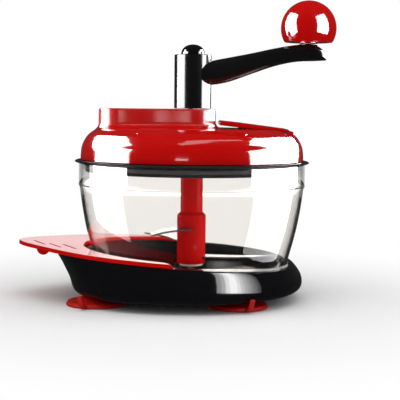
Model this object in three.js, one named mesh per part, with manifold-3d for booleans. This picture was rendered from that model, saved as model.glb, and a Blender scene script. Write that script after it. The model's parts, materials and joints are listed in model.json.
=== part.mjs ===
import * as THREE from "three";
import { mergeVertices } from "three/addons/utils/BufferGeometryUtils.js";
import Module from "manifold-3d";

// Crank food chopper: a suction base with a tilted rim, a clear bowl, a domed gear lid and a cranked handle.
// Millimetres, +Z up. The bowl's axis is X = 0, Y = 0 in all the numbers below; the whole is then moved
// sideways by CENTRE_SHIFT, so that the part's origin is under the middle of its box, on the table.

const wasm = await Module();
wasm.setup();

// Driving dimensions
const CENTRE_SHIFT = 13.4;
const GAP = 0.3;
const ROUND = 40;
const MIDDLE = 24;
const SMALL = 12;
const HEX = 6;
const RIM_HEIGHT = 36.0;
const RIM_SLOPE = 0.057;
const BASE_FLOOR = 7.5;
const BASE_WALL = 2.6;
const COVER_THICKNESS = 2.5;
const TUB_FLOOR = 20;
const TUB_WALL = 2.5;
const BOWL_TOP = 115;
const BOWL_WALL = 2.5;
const LIP_RADIUS = 100;
const TURRET_TOP = 160.8;
const LOBE_RADIUS = 19.7;
const LOBE_OFFSET = 60;
const LID_WALL = 2.6;
const COLUMN_RADIUS = 15.7;
const COLUMN_TOP = 206.6;
const KNOB_X = 97.7;
const KNOB_Z = 229.7;
const KNOB_RADIUS = 23.5;
const KNOB_FLAT = 218;
const SHAFT_RADIUS = 5;
const SHAFT_SOCKET = SHAFT_RADIUS + 0.35;
const BUSH_RADIUS = 8;
const SHAFT_TUBE = 11.2;
const AXLE_RADIUS = 3;
const AXLE_TUBE = 7;

// Gear train: crank wheel to compound pinion, compound wheel to output pinion
const MODULE = 1.5;
const CRANK_TEETH = 42;
const PINION_TEETH = 25;
const WHEEL_TEETH = 45;
const OUTPUT_TEETH = 22;
const AXLE_X = -(CRANK_TEETH + PINION_TEETH) * MODULE / 2;
const UPPER_GEAR = [133, 139];
const LOWER_GEAR = [121, 127];
const GEAR_HUB = 9;
const FLANGE_RADIUS = 17.8;

// Lever that works the suction cups
const LEVER_INNER = [92, 87.5];
const LEVER_THICKNESS = 3.3;
const TIP_X = -14;
const PIVOT_X = -15.5;
const PIVOT_Z = 31;
const PIVOT_RADIUS = 1.5;
const LEG_INNER = 86.3;
const LEG_OUTER = 88.9;
const LEFT_CUP = [-77, 46];
const RIGHT_CUP = [38.6, 53];
const CUP_RADIUS = 25;
const TAB_ANGLE = 72;

// Feed flap on the lid
const FLAP_HALF = 24;
const FEED = { left: 38, right: 74, half: 18, wall: 2.5 };
const FLAP_PIN = [78.6, 142.6];
const FLAP_PIN_RADIUS = 1.1;

// Screws
const COVER_SCREWS = [[-42, 66], [10, 72]];
const LID_SCREWS = [[-40, 69], [40, 69]];
const SCREW = { head: 3.1, headHole: 3.6, shank: 1.2, clear: 1.9, thread: 1.5 };

const DEGREE = Math.PI / 180;
const FRONT_AND_BACK = [-1, 1];

const finishes = {
  red: { color: 0xc00408, roughness: 0.18, metalness: 0 },
  black: { color: 0x08080a, roughness: 0.15, metalness: 0 },
  dark: { color: 0x2b282b, roughness: 0.35, metalness: 0 },
  clear: { color: 0xe9eef0, roughness: 0.05, metalness: 0 },
  steel: { color: 0xb9bcc0, roughness: 0.25, metalness: 1 },
  nylon: { color: 0xe8e6df, roughness: 0.45, metalness: 0 },
  rubber: { color: 0xc30e07, roughness: 0.4, metalness: 0 },
  seal: { color: 0x3a3a3d, roughness: 0.6, metalness: 0 },
};

// Solids

function solid(geometry) {
  const bare = geometry.index ? geometry.toNonIndexed() : geometry.clone();
  bare.deleteAttribute("normal");
  bare.deleteAttribute("uv");
  const merged = mergeVertices(bare);
  const vertProperties = merged.attributes.position.array;
  const triVerts = new Uint32Array(merged.index.array);
  return new wasm.Manifold(new wasm.Mesh({ numProp: 3, vertProperties, triVerts }));
}

function geometryOf(made) {
  const mesh = made.getMesh();
  const geometry = new THREE.BufferGeometry();
  geometry.setAttribute("position", new THREE.BufferAttribute(mesh.vertProperties, 3));
  geometry.setIndex(new THREE.BufferAttribute(mesh.triVerts, 1));
  const flat = geometry.toNonIndexed();
  flat.computeVertexNormals();
  return flat;
}

function join(first, ...others) {
  return others.reduce((whole, other) => whole.add(other), first);
}

function cut(first, ...others) {
  return others.reduce((whole, other) => whole.subtract(other), first);
}

// A turned piece about a vertical axis; the profile is [radius, height] points, anticlockwise.
function turned(profile, segments, x = 0, y = 0) {
  const points = profile.map(([radius, height]) => new THREE.Vector2(radius, height));
  const closed = profile[0][0] > 0 ? [...points, points[0]] : points;
  const geometry = new THREE.LatheGeometry(closed, segments);
  return solid(geometry.rotateX(Math.PI / 2).translate(x, y, 0));
}

function rod(radius, bottom, top, segments, x = 0, y = 0) {
  return turned([[0, bottom], [radius, bottom], [radius, top], [0, top]], segments, x, y);
}

function tube(inner, outer, bottom, top, segments, x = 0, y = 0) {
  return turned([[inner, bottom], [outer, bottom], [outer, top], [inner, top]], segments, x, y);
}

// A rod along Y
function crossRod(radius, x, z, y0, y1) {
  const geometry = new THREE.CylinderGeometry(radius, radius, y1 - y0, SMALL);
  return solid(geometry.translate(x, (y0 + y1) / 2, z));
}

function block(x0, x1, y0, y1, z0, z1) {
  const geometry = new THREE.BoxGeometry(x1 - x0, y1 - y0, z1 - z0);
  return solid(geometry.translate((x0 + x1) / 2, (y0 + y1) / 2, (z0 + z1) / 2));
}

// A flat outline raised from one height to another
function plate(shape, bottom, top, curveSegments = 12) {
  const depth = top - bottom;
  const geometry = new THREE.ExtrudeGeometry(shape, { depth, bevelEnabled: false, curveSegments });
  return solid(geometry.translate(0, 0, bottom));
}

// An outline in X and Z carried from one depth to another
function sidePlate(points, y0, y1) {
  const shape = new THREE.Shape(points.map(([x, z]) => new THREE.Vector2(x, z)));
  const geometry = new THREE.ExtrudeGeometry(shape, { depth: y1 - y0, bevelEnabled: false });
  return solid(geometry.rotateX(Math.PI / 2).translate(0, y1, 0));
}

// A skin over a stack of rings with the same number of points, closed by a fan at each end
function loft(rings) {
  const count = rings[0].length;
  const positions = rings.flat().flatMap(([x, y, z]) => [x, y, z]);
  const index = [];
  for (let level = 0; level < rings.length - 1; level += 1) {
    for (let i = 0; i < count; i += 1) {
      const a = level * count + i;
      const b = level * count + ((i + 1) % count);
      index.push(a, b, b + count, a, b + count, a + count);
    }
  }
  for (const level of [0, rings.length - 1]) {
    const ring = rings[level];
    const middle = [0, 1, 2].map((axis) => ring.reduce((sum, point) => sum + point[axis], 0) / count);
    const hub = positions.length / 3;
    positions.push(...middle);
    for (let i = 0; i < count; i += 1) {
      const a = level * count + i;
      const b = level * count + ((i + 1) % count);
      index.push(...(level === 0 ? [hub, b, a] : [hub, a, b]));
    }
  }
  const geometry = new THREE.BufferGeometry();
  geometry.setAttribute("position", new THREE.Float32BufferAttribute(positions, 3));
  geometry.setIndex(index);
  return solid(geometry);
}

// Straight-line reading of a table of [place, value] pairs
function along(table, place) {
  const next = table.findIndex(([at]) => at >= place);
  if (next <= 0) return table[next < 0 ? table.length - 1 : 0][1];
  const [before, low] = table[next - 1];
  const [after, high] = table[next];
  return low + (high - low) * (place - before) / (after - before);
}

const root = new THREE.Group();
root.position.x = CENTRE_SHIFT;

function add(name, made, finish) {
  const mesh = new THREE.Mesh(geometryOf(made), new THREE.MeshStandardMaterial(finishes[finish]));
  mesh.name = name;
  root.add(mesh);
}

// Base housing: a boat-shaped shell with a round tub for the bowl. The shares below run from 0 at the
// bottom edge to 1 at the tilted rim.
const FRONT_WALL = [[0, 88.5], [0.07, 92], [0.16, 94], [0.35, 95], [0.8, 95], [0.93, 94.6], [1, 93.6]];
const RIGHT_END = [
  [0, 88], [0.07, 91.5], [0.16, 94], [0.35, 95.2], [0.6, 94], [0.8, 91], [0.93, 88.2], [1, 86.4],
];
const LEFT_END = [
  [0, 97], [0.07, 99.5], [0.16, 101], [0.35, 103], [0.6, 107.5], [0.8, 111.5], [0.93, 114.6], [1, 115],
];
const LEFT_POWER = [[0, 2.6], [1, 2.3]];
const RIGHT_POWER = 2.15;

function rimAt(x) {
  return RIM_HEIGHT - RIM_SLOPE * x;
}

function baseRadius(angle, share) {
  const toRight = Math.cos(angle) > 0;
  const end = along(toRight ? RIGHT_END : LEFT_END, share);
  const power = toRight ? RIGHT_POWER : along(LEFT_POWER, share);
  const endwise = (Math.abs(Math.cos(angle)) / end) ** power;
  const sideways = (Math.abs(Math.sin(angle)) / along(FRONT_WALL, share)) ** power;
  return (endwise + sideways) ** (-1 / power);
}

function baseRing(share, inset, height) {
  return Array.from({ length: ROUND }, (_, i) => {
    const angle = i * 2 * Math.PI / ROUND;
    const radius = baseRadius(angle, share) - inset;
    const x = radius * Math.cos(angle);
    const z = height ?? BASE_FLOOR + share * (rimAt(x) - BASE_FLOOR);
    return [x, radius * Math.sin(angle), z];
  });
}

// Bowl outline, from its foot to its rim
const BOWL_FOOT = TUB_FLOOR + GAP;
const BOWL_OUTSIDE = [
  [72, BOWL_FOOT], [77.5, 22], [80.8, 26], [82.6, 32], [84.8, 40], [87.5, 50], [90.4, 62], [93.4, 79],
  [95.4, 94.7], [96.4, 96.3], [96.4, BOWL_TOP],
];

function makeHousing() {
  const outside = loft([0, 0.07, 0.16, 0.35, 0.6, 0.8, 0.93, 1].map((share) => baseRing(share, 0)));
  const hollow = loft([
    baseRing(0, BASE_WALL, 0),
    baseRing(0, BASE_WALL),
    ...[0.16, 0.35, 0.6, 0.8, 0.9].map((share) => baseRing(share, BASE_WALL)),
  ]);
  const seat = BOWL_OUTSIDE.slice(0, 6).map(([radius, height]) => [radius + 0.4, height - GAP]);
  const recess = turned([[0, TUB_FLOOR], ...seat, [seat.at(-1)[0], 60], [0, 60]], ROUND);
  const below = seat.map(([radius, height]) => [radius + TUB_WALL * 0.9, height - TUB_WALL * 0.4]);
  const underside = TUB_FLOOR - TUB_WALL;
  const tub = turned([
    [0, underside], [seat[0][0], underside], ...below, [below.at(-1)[0], 60], [0, 60],
  ], ROUND);
  const slots = [];
  const bosses = [];
  const bores = [];
  for (const side of FRONT_AND_BACK) {
    const span = (near, far) => (side < 0 ? [-far, -near] : [near, far]);
    slots.push(block(PIVOT_X - 8, PIVOT_X + 4.6, ...span(LEG_INNER - 0.5, LEG_OUTER + 0.4), 25, 60));
    bosses.push(block(PIVOT_X - 5, PIVOT_X + 5, ...span(83.5, LEG_INNER - 0.5), PIVOT_Z - 4, 36));
    bosses.push(block(PIVOT_X - 5, PIVOT_X + 5, ...span(LEG_OUTER + 0.4, 96), PIVOT_Z - 4, 36));
    bores.push(crossRod(PIVOT_RADIUS + GAP, PIVOT_X, PIVOT_Z, ...span(84.2, 92.8)));
    for (const [x, y] of COVER_SCREWS) {
      bosses.push(rod(4.2, BASE_FLOOR + COVER_THICKNESS + GAP, TUB_FLOOR + 3, SMALL, x, side * y));
      bores.push(rod(SCREW.thread, BASE_FLOOR, 17.2, 8, x, side * y));
    }
  }
  const shell = outside.subtract(hollow.subtract(tub));
  const carried = join(shell, ...bosses.map((boss) => boss.intersect(outside)));
  return cut(carried, recess, ...slots, ...bores);
}

add("base_housing", makeHousing(), "black");

// Bottom cover, set inside the housing's wall, with sockets for the cups
const CUP_PLACES = FRONT_AND_BACK.flatMap((side) => [LEFT_CUP, RIGHT_CUP].map(([x, y]) => [x, side * y]));
const CUP_NAMES = ["front_left", "front_right", "rear_left", "rear_right"];
const CUP_NECK = 6;

function makeCover() {
  const coverTop = BASE_FLOOR + COVER_THICKNESS;
  const inset = BASE_WALL + GAP;
  const slab = loft([baseRing(0, inset, BASE_FLOOR + 0.2), baseRing(0, inset, coverTop)]);
  const holes = CUP_PLACES.map(([x, y]) => rod(CUP_NECK + GAP, 0, 20, MIDDLE, x, y));
  for (const side of FRONT_AND_BACK) {
    for (const [x, y] of COVER_SCREWS) {
      holes.push(rod(SCREW.clear, 0, 20, SMALL, x, side * y));
      holes.push(rod(SCREW.headHole, 0, BASE_FLOOR + 1.7, SMALL, x, side * y));
    }
  }
  return cut(slab, ...holes);
}

add("base_bottom_cover", makeCover(), "black");

function screw(x, y, headBottom, headTop, tip) {
  return turned([
    [0, headBottom], [SCREW.head, headBottom], [SCREW.head, headTop], [SCREW.shank, headTop],
    [SCREW.shank, tip - 1], [0, tip],
  ], 8, x, y);
}

COVER_SCREWS.forEach(([x, y], i) => {
  for (const side of FRONT_AND_BACK) {
    const name = `base_screw_${side < 0 ? "front" : "rear"}_${i === 0 ? "left" : "right"}`;
    add(name, screw(x, side * y, BASE_FLOOR + 0.2, BASE_FLOOR + 1.4, 16.6), "steel");
  }
});

// Suction cups: a thin lip that spreads on the table, a neck that snaps through the cover and a pull tab
const CUP_PROFILE = [
  [CUP_RADIUS - 4, 0], [CUP_RADIUS, 0], [CUP_RADIUS, 1.8], [CUP_RADIUS - 1.6, 3.6], [12, 7], [CUP_NECK, 7.2],
  [CUP_NECK, 10.3], [CUP_NECK + 1.4, 10.5], [CUP_NECK + 1.4, 11.8], [2.9, 11.8], [2.9, 6.4], [7.5, 6.4],
  [18, 3],
];

const TAB_WIDTH = 4;
const TAB_SIDE = new THREE.Shape([
  new THREE.Vector2(CUP_RADIUS - 2.5, 1),
  new THREE.Vector2(CUP_RADIUS + 3, 1),
  new THREE.Vector2(CUP_RADIUS + 11.5, 11.6),
  new THREE.Vector2(CUP_RADIUS + 10, 12.6),
  new THREE.Vector2(CUP_RADIUS + 2, 3.2),
  new THREE.Vector2(CUP_RADIUS - 2.5, 3.2),
]);

CUP_PLACES.forEach(([x, y], i) => {
  const tabAngle = Math.sign(y) * (x < 0 ? 180 - TAB_ANGLE : TAB_ANGLE) * DEGREE;
  const tab = new THREE.ExtrudeGeometry(TAB_SIDE, { depth: TAB_WIDTH, bevelEnabled: false });
  tab.translate(0, 0, -TAB_WIDTH / 2).rotateX(Math.PI / 2).rotateZ(tabAngle).translate(x, y, 0);
  const cup = turned(CUP_PROFILE, 20, x, y).add(solid(tab));
  add(`suction_cup_${CUP_NAMES[i]}`, cup, "rubber");
});

// Yoke that draws the middle of every cup up, and its four stems
const YOKE = [14.3, 16.1];
const YOKE_BAR = [-20, -6];
const YOKE_EAR = [PIVOT_X + 11, PIVOT_X + 18];
const YOKE_EAR_INNER = 46;
const YOKE_ARM = 6.5;
const STEM_RADIUS = 2.2;

function makeYoke() {
  const bars = [block(...YOKE_BAR, -RIGHT_CUP[1], RIGHT_CUP[1], ...YOKE)];
  for (const side of FRONT_AND_BACK) {
    const shape = new THREE.Shape();
    const left = new THREE.Vector2(LEFT_CUP[0], side * LEFT_CUP[1]);
    const right = new THREE.Vector2(RIGHT_CUP[0], side * RIGHT_CUP[1]);
    const lean = right.clone().sub(left).angle();
    shape.absarc(left.x, left.y, YOKE_ARM, lean + Math.PI / 2, lean + 3 * Math.PI / 2, false);
    shape.absarc(right.x, right.y, YOKE_ARM, lean - Math.PI / 2, lean + Math.PI / 2, false);
    bars.push(plate(shape, ...YOKE, 8));
    const ear = side < 0 ? [-LEG_OUTER, -YOKE_EAR_INNER] : [YOKE_EAR_INNER, LEG_OUTER];
    bars.push(block(...YOKE_EAR, ...ear, ...YOKE));
  }
  const holes = CUP_PLACES.map(([x, y]) => rod(STEM_RADIUS + GAP, 0, 30, SMALL, x, y));
  return cut(join(...bars), ...holes);
}

add("suction_yoke", makeYoke(), "nylon");

CUP_PLACES.forEach(([x, y], i) => {
  const stem = turned([
    [0, 4.9], [5.6, 4.9], [5.6, 5.9], [STEM_RADIUS, 5.9], [STEM_RADIUS, 16.3], [4, 16.3], [4, 17.1],
    [0, 17.1],
  ], SMALL, x, y);
  add(`cup_stem_${CUP_NAMES[i]}`, stem, "steel");
});

// Suction lever: the winged plate lies on the rim, with two legs that go down inside the housing
const TAIL_END = 148;
const GROOVES = [[-135, -3, -122, -26], [-120, -17, -107, -37], [-109, -16, -94, -41]];
const GROOVE = { width: 2.2, depth: 0.8 };
const NUB = { x: -123, radius: 5.4, length: 62 };
const LEG_SIDE = [
  [-7, 38.5], [-7, 28], [5.5, 12.4], [16, 12.4], [16, 14], [9.5, 14], [3.5, 26], [3.5, 36.4], [0, 38.5],
].map(([x, z]) => [PIVOT_X + x, z]);

function makeLever() {
  const outline = new THREE.Shape();
  outline.moveTo(TIP_X, 95);
  outline.bezierCurveTo(-42, 93, -70, 84, -91, 68);
  outline.bezierCurveTo(-110, 54, -124, 38, -136, 25);
  outline.quadraticCurveTo(-TAIL_END, 12, -TAIL_END, 0);
  outline.quadraticCurveTo(-TAIL_END, -12, -136, -25);
  outline.bezierCurveTo(-124, -38, -110, -54, -91, -68);
  outline.bezierCurveTo(-70, -84, -42, -93, TIP_X, -95);
  const tip = Math.acos((TIP_X - 6) / LEVER_INNER[0]);
  outline.absellipse(0, 0, ...LEVER_INNER, -tip, tip, true, 0);
  const raised = new THREE.ExtrudeGeometry(outline, {
    depth: LEVER_THICKNESS, bevelEnabled: false, curveSegments: 14,
  });
  const tilt = Math.atan(RIM_SLOPE);
  const laid = (geometry) => solid(geometry.rotateY(tilt).translate(0, 0, RIM_HEIGHT + 0.25));
  const grooves = GROOVES.map(([x0, y0, x1, y1]) => {
    const length = Math.hypot(x1 - x0, y1 - y0);
    const groove = new THREE.BoxGeometry(length, GROOVE.width, 2 * GROOVE.depth);
    groove.rotateZ(Math.atan2(y1 - y0, x1 - x0));
    groove.translate((x0 + x1) / 2, (y0 + y1) / 2, LEVER_THICKNESS);
    return laid(groove);
  });
  const nub = new THREE.CylinderGeometry(NUB.radius, NUB.radius, NUB.length, SMALL, 1, false);
  nub.translate(NUB.x, 0, 0.4);
  const bore = crossRod(PIVOT_RADIUS + GAP, PIVOT_X, PIVOT_Z, -100, 100);
  const legs = FRONT_AND_BACK.map((side) => {
    const span = side < 0 ? [-LEG_OUTER, -LEG_INNER] : [LEG_INNER, LEG_OUTER];
    return sidePlate(LEG_SIDE, ...span).subtract(bore);
  });
  return cut(join(laid(raised), laid(nub), ...legs), ...grooves);
}

add("suction_lever", makeLever(), "red");

for (const side of FRONT_AND_BACK) {
  const span = side < 0 ? [-92.6, -84.4] : [84.4, 92.6];
  const pin = crossRod(PIVOT_RADIUS, PIVOT_X, PIVOT_Z, ...span);
  add(`lever_pin_${side < 0 ? "front" : "rear"}`, pin, "steel");
}

// Clear bowl, with a boss that holds the pin the cutter turns on
const BOWL_FLOOR = BOWL_FOOT + 3;

function makeBowl() {
  const inside = BOWL_OUTSIDE.slice(2).reverse().map(([radius, height]) => [radius - BOWL_WALL, height]);
  inside[0] = [BOWL_OUTSIDE.at(-1)[0] - BOWL_WALL - 0.4, BOWL_TOP];
  inside[1] = [inside[0][0], 97];
  const shell = turned([
    [0, BOWL_FOOT], ...BOWL_OUTSIDE, ...inside, [74.5, BOWL_FLOOR + 1], [70, BOWL_FLOOR], [7, BOWL_FLOOR],
    [6.5, 27], [0, 27],
  ], ROUND);
  return shell.subtract(rod(AXLE_RADIUS + GAP, 22, 40, SMALL));
}

add("bowl", makeBowl(), "clear");
add("cutter_pin", turned([
  [0, 22.3], [AXLE_RADIUS, 22.3], [AXLE_RADIUS, 58], [1.8, 60], [0, 60],
], SMALL), "steel");

// Cutter: a bush that stays on the hub, a tall hub and three curved blades at three heights
const FOOT_BUSH = 6;

add("cutter_foot_bush", turned([
  [AXLE_RADIUS + GAP, 27.3], [10, 27.3], [10, 28.8], [FOOT_BUSH, 28.8], [FOOT_BUSH, 50],
  [AXLE_RADIUS + GAP, 50],
], SMALL), "nylon");

const HUB = { bottom: 29.1, bore: 62, socket: 88, top: 104.4, neck: 9.5, body: 12.3 };
const BLADES = [["lower", 34, 0], ["middle", 46.5, 120], ["upper", 59, 240]];
const BLADE_THICKNESS = 1.5;
const BLADE_ROOT = 8.7;
const BLADE_TIP = 74;
const BLADE_HALF = 8;

function makeHub() {
  const body = turned([
    [0, HUB.bottom], [HUB.body, HUB.bottom], [HUB.body, 71], [HUB.neck, 73.5], [HUB.neck, HUB.top],
    [0, HUB.top],
  ], MIDDLE);
  const bore = rod(FOOT_BUSH + GAP, 0, HUB.bore, SMALL);
  const socket = rod(SHAFT_SOCKET, HUB.socket, 120, HEX);
  const slots = BLADES.map(([, height, turn]) => {
    const slot = new THREE.BoxGeometry(10, 2 * (BLADE_HALF + GAP), BLADE_THICKNESS + 2 * GAP);
    slot.translate(BLADE_ROOT - GAP + 5, 0, height + BLADE_THICKNESS / 2).rotateZ(turn * DEGREE);
    return solid(slot);
  });
  return cut(body, bore, socket, ...slots);
}

function makeBlade(height, turn) {
  const shape = new THREE.Shape();
  shape.moveTo(BLADE_ROOT, -BLADE_HALF);
  shape.lineTo(16, -BLADE_HALF);
  shape.quadraticCurveTo(52, -15, BLADE_TIP, BLADE_HALF);
  shape.quadraticCurveTo(46, 0, 16, BLADE_HALF);
  shape.lineTo(BLADE_ROOT, BLADE_HALF);
  shape.closePath();
  const geometry = new THREE.ExtrudeGeometry(shape, {
    depth: BLADE_THICKNESS, bevelEnabled: false, curveSegments: 10,
  });
  return solid(geometry.translate(0, 0, height).rotateZ(turn * DEGREE));
}

add("cutter_hub", makeHub(), "red");
for (const [name, height, turn] of BLADES) {
  add(`blade_${name}`, makeBlade(height, turn), "steel");
}

// Lid plate: closes the gear case from below, with the black lip that rests on the bowl
const PLATE_BOTTOM = 107.5;
const PLATE_FLOOR = 109.9;
const GASKET = { bottom: 110.2, top: 113.4, inner: 90.3, outer: 93.2 };

function makeLidPlate() {
  const body = turned([
    [BUSH_RADIUS + GAP, PLATE_BOTTOM - 1.2], [23, PLATE_BOTTOM - 1.2], [24.2, PLATE_BOTTOM],
    [91.4, PLATE_BOTTOM],
    [91.4, GASKET.bottom - GAP], [GASKET.inner - GAP, GASKET.bottom - GAP],
    [GASKET.inner - GAP, GASKET.top + GAP], [92, GASKET.top + GAP], [92, 115.3], [98.6, 115.3],
    [LIP_RADIUS, 116.1], [98.6, 117.1], [91.7, 117.3], [91.7, 121], [88.4, 121],
    [87.8, PLATE_FLOOR], [12, PLATE_FLOOR], [12, 119], [BUSH_RADIUS + GAP, 119],
  ], ROUND);
  const boss = rod(AXLE_TUBE, PLATE_FLOOR - 1, 118, SMALL, AXLE_X);
  const pads = [];
  const aside = FEED.wall + 0.4;
  const half = FEED.half + aside;
  const holes = [
    rod(AXLE_RADIUS + GAP, 110.6, 130, SMALL, AXLE_X),
    block(FEED.left - aside, FEED.right + aside, -half, half, 100, 130),
  ];
  for (const side of FRONT_AND_BACK) {
    for (const [x, y] of LID_SCREWS) {
      pads.push(rod(5.5, PLATE_FLOOR - 1, 117, SMALL, x, side * y));
      holes.push(rod(SCREW.clear, 100, 130, SMALL, x, side * y));
      holes.push(rod(SCREW.headHole, 100, 111, SMALL, x, side * y));
    }
  }
  return cut(join(body, boss, ...pads), ...holes);
}

add("lid_plate", makeLidPlate(), "dark");
add("lid_gasket", tube(GASKET.inner, GASKET.outer, GASKET.bottom, GASKET.top, ROUND), "seal");

// Lid cover: a dome with a raised two-lobed turret, open below
const DOME_OUTSIDE = [
  [94.7, 117.6], [94.7, 121.3], [94.1, 127.9], [92.3, 132.7], [89.3, 137.4], [86.7, 139.9], [83.2, 142.1],
  [78, 143.6], [60, 144.5], [0, 145],
];
const DOME_INSIDE = [
  [0, 142.3], [60, 141.8], [77, 140.9], [82, 139.4], [85, 137.6], [87.4, 135.2], [89.9, 131.4],
  [91.6, 127.2],
  [92.1, 121.3], [92.1, 117.6],
];
const TURRET_STEPS = [
  [142.8, 4.6], [144.2, 2.6], [145.8, 1.2], [149, 0.5], [TURRET_TOP - 1, 0], [TURRET_TOP, -1],
];
const WAIST = 2.4;

// The turret's outline grown by an amount: two round lobes with a slightly waisted web between them
function turretRing(height, grow) {
  const points = [];
  const radius = LOBE_RADIUS + grow;
  for (let i = 0; i <= 10; i += 1) {
    const angle = (i / 10 - 0.5) * Math.PI;
    points.push([radius * Math.cos(angle), radius * Math.sin(angle), height]);
  }
  const web = [0.2, 0.4, 0.6, 0.8];
  const widthAt = (share) => radius - WAIST * (1 - Math.cos(2 * Math.PI * share)) / 2;
  web.forEach((share) => points.push([-LOBE_OFFSET * share, widthAt(share), height]));
  for (let i = 0; i <= 10; i += 1) {
    const angle = (i / 10 + 0.5) * Math.PI;
    points.push([-LOBE_OFFSET + radius * Math.cos(angle), radius * Math.sin(angle), height]);
  }
  web.toReversed().forEach((share) => points.push([-LOBE_OFFSET * share, -widthAt(share), height]));
  return points;
}

// The flap's side view, and the same grown a little for its seat in the dome
const FLAP_SIDE = [
  [22.6, 147.6], [30, 146.7], [38, 145.9], [60, 143.2], [75.5, 140.9], [78.6, 140.4], [80.8, 141.6],
  [81.2, 143.4], [80, 144.7], [60, 147.2], [38, 149.9], [23.4, 151.3], [22.3, 150.2],
];
const SEAT_SIDE = [
  [30, 146.3], [38, 145.3], [60, 142.7], [75.3, 140.4], [78.6, 139.8], [82.6, 141.2], [84, 160], [30, 160],
];
const PLUG_SIDE = [[39.6, 139], [72.4, 139], [72.4, 142.5], [39.6, 146.5]];
const PLUG_HOLLOW = [[42, 138], [70, 138], [70, 142], [42, 144.5]];
const PLUG_GAP = 1;
const PLUG_WALL = 2.4;
const EAR = { inner: FLAP_HALF + 0.5, outer: FLAP_HALF + 3.5, radius: 2.3 };

function makeLidCover() {
  const domeOutside = turned([[0, 117.6], ...DOME_OUTSIDE], ROUND);
  const domeInside = turned([[0, 110], [92.1, 110], ...DOME_INSIDE.toReversed()], ROUND);
  const turret = loft(TURRET_STEPS.map(([height, grow]) => turretRing(height, grow)));
  const turretInside = loft([turretRing(130, -LID_WALL), turretRing(TURRET_TOP - LID_WALL, -LID_WALL)]);
  const shaftTube = rod(SHAFT_TUBE, 142, 160, MIDDLE);
  const axleTube = rod(AXLE_TUBE, 142.5, 160, SMALL, AXLE_X);
  const left = FEED.left - FEED.wall;
  const right = FEED.right + FEED.wall;
  const half = FEED.half + FEED.wall;
  const room = domeOutside.add(rod(88, 100, 130, ROUND));
  const chute = block(left, right, -half, half, PLATE_BOTTOM + 0.2, 142).intersect(room);
  const backing = block(left, 86, -EAR.outer, EAR.outer, 136.5, 144).intersect(domeOutside);
  const columns = [];
  const holes = [];
  for (const side of FRONT_AND_BACK) {
    for (const [x, y] of LID_SCREWS) {
      columns.push(rod(4.2, 117.3, 141.5, SMALL, x, side * y));
      holes.push(rod(SCREW.thread, 110, 132, SMALL, x, side * y));
    }
    const span = side < 0 ? [-EAR.outer, -EAR.inner] : [EAR.inner, EAR.outer];
    columns.push(crossRod(EAR.radius, ...FLAP_PIN, ...span));
    const [pinX, pinZ] = FLAP_PIN;
    columns.push(block(pinX - EAR.radius, pinX + EAR.radius, ...span, 139.5, pinZ));
  }
  const shell = domeOutside.add(turret).subtract(domeInside.add(turretInside));
  const whole = join(shell, shaftTube, axleTube, chute, backing, ...columns);
  return cut(
    whole,
    ...holes,
    sidePlate(SEAT_SIDE, -FLAP_HALF - 0.5, FLAP_HALF + 0.5),
    block(FEED.left, FEED.right, -FEED.half, FEED.half, 100, 160),
    crossRod(FLAP_PIN_RADIUS + GAP, ...FLAP_PIN, -EAR.outer - 1, EAR.outer + 1),
    rod(BUSH_RADIUS + GAP, 130, 170, MIDDLE),
    rod(AXLE_RADIUS + GAP, 130, 158, SMALL, AXLE_X),
  );
}

add("lid_cover", makeLidCover(), "red");

LID_SCREWS.forEach(([x, y], i) => {
  for (const side of FRONT_AND_BACK) {
    const name = `lid_screw_${side < 0 ? "front" : "rear"}_${i === 0 ? "left" : "right"}`;
    add(name, screw(x, side * y, 108, 110.7, 130), "steel");
  }
});

// Feed flap with a plug that fills the feed hole, turning on a pin at the outer edge
function makeFlap() {
  const leaf = sidePlate(FLAP_SIDE, -FLAP_HALF, FLAP_HALF);
  const half = FEED.half - PLUG_GAP;
  const plug = sidePlate(PLUG_SIDE, -half, half);
  const hollow = sidePlate(PLUG_HOLLOW, -half + PLUG_WALL, half - PLUG_WALL);
  return cut(leaf.add(plug), hollow, crossRod(FLAP_PIN_RADIUS + GAP, ...FLAP_PIN, -40, 40));
}

add("feed_flap", makeFlap(), "red");
const pinEnd = EAR.outer - 0.2;
add("flap_hinge_pin", crossRod(FLAP_PIN_RADIUS, ...FLAP_PIN, -pinEnd, pinEnd), "steel");

// Gear train
function gear(teeth, [bottom, top], first, x = 0) {
  const pitch = teeth * MODULE / 2;
  const outer = pitch + MODULE * 0.95;
  const rootRadius = pitch - MODULE * 1.2;
  const baseCircle = pitch * Math.cos(20 * DEGREE);
  const involute = (radius) => {
    const slope = Math.sqrt(Math.max((radius / baseCircle) ** 2 - 1, 0));
    return slope - Math.atan(slope);
  };
  const thinned = 0.14 / pitch;
  const halfAt = (radius) => Math.PI / (2 * teeth) - thinned + involute(pitch) - involute(radius);
  const low = Math.max(baseCircle, rootRadius);
  const points = [];
  for (let i = 0; i < teeth; i += 1) {
    const middle = first + i * 2 * Math.PI / teeth;
    const spots = [
      [rootRadius, -halfAt(low)], [outer, -halfAt(outer)], [outer, halfAt(outer)], [rootRadius, halfAt(low)],
    ];
    spots.forEach(([radius, turn]) => {
      points.push([x + radius * Math.cos(middle + turn), radius * Math.sin(middle + turn)]);
    });
  }
  return loft([bottom, top].map((height) => points.map(([px, py]) => [px, py, height])));
}

const gapFirst = (teeth) => Math.PI / teeth;
const toothAtHalfTurn = (teeth) => (teeth % 2 ? Math.PI / teeth : 0);
function makeCrankGear() {
  const wheel = gear(CRANK_TEETH, UPPER_GEAR, toothAtHalfTurn(CRANK_TEETH));
  return cut(wheel.add(rod(GEAR_HUB, UPPER_GEAR[0], 141.3, MIDDLE)), rod(SHAFT_SOCKET, 120, 150, HEX));
}

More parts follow.
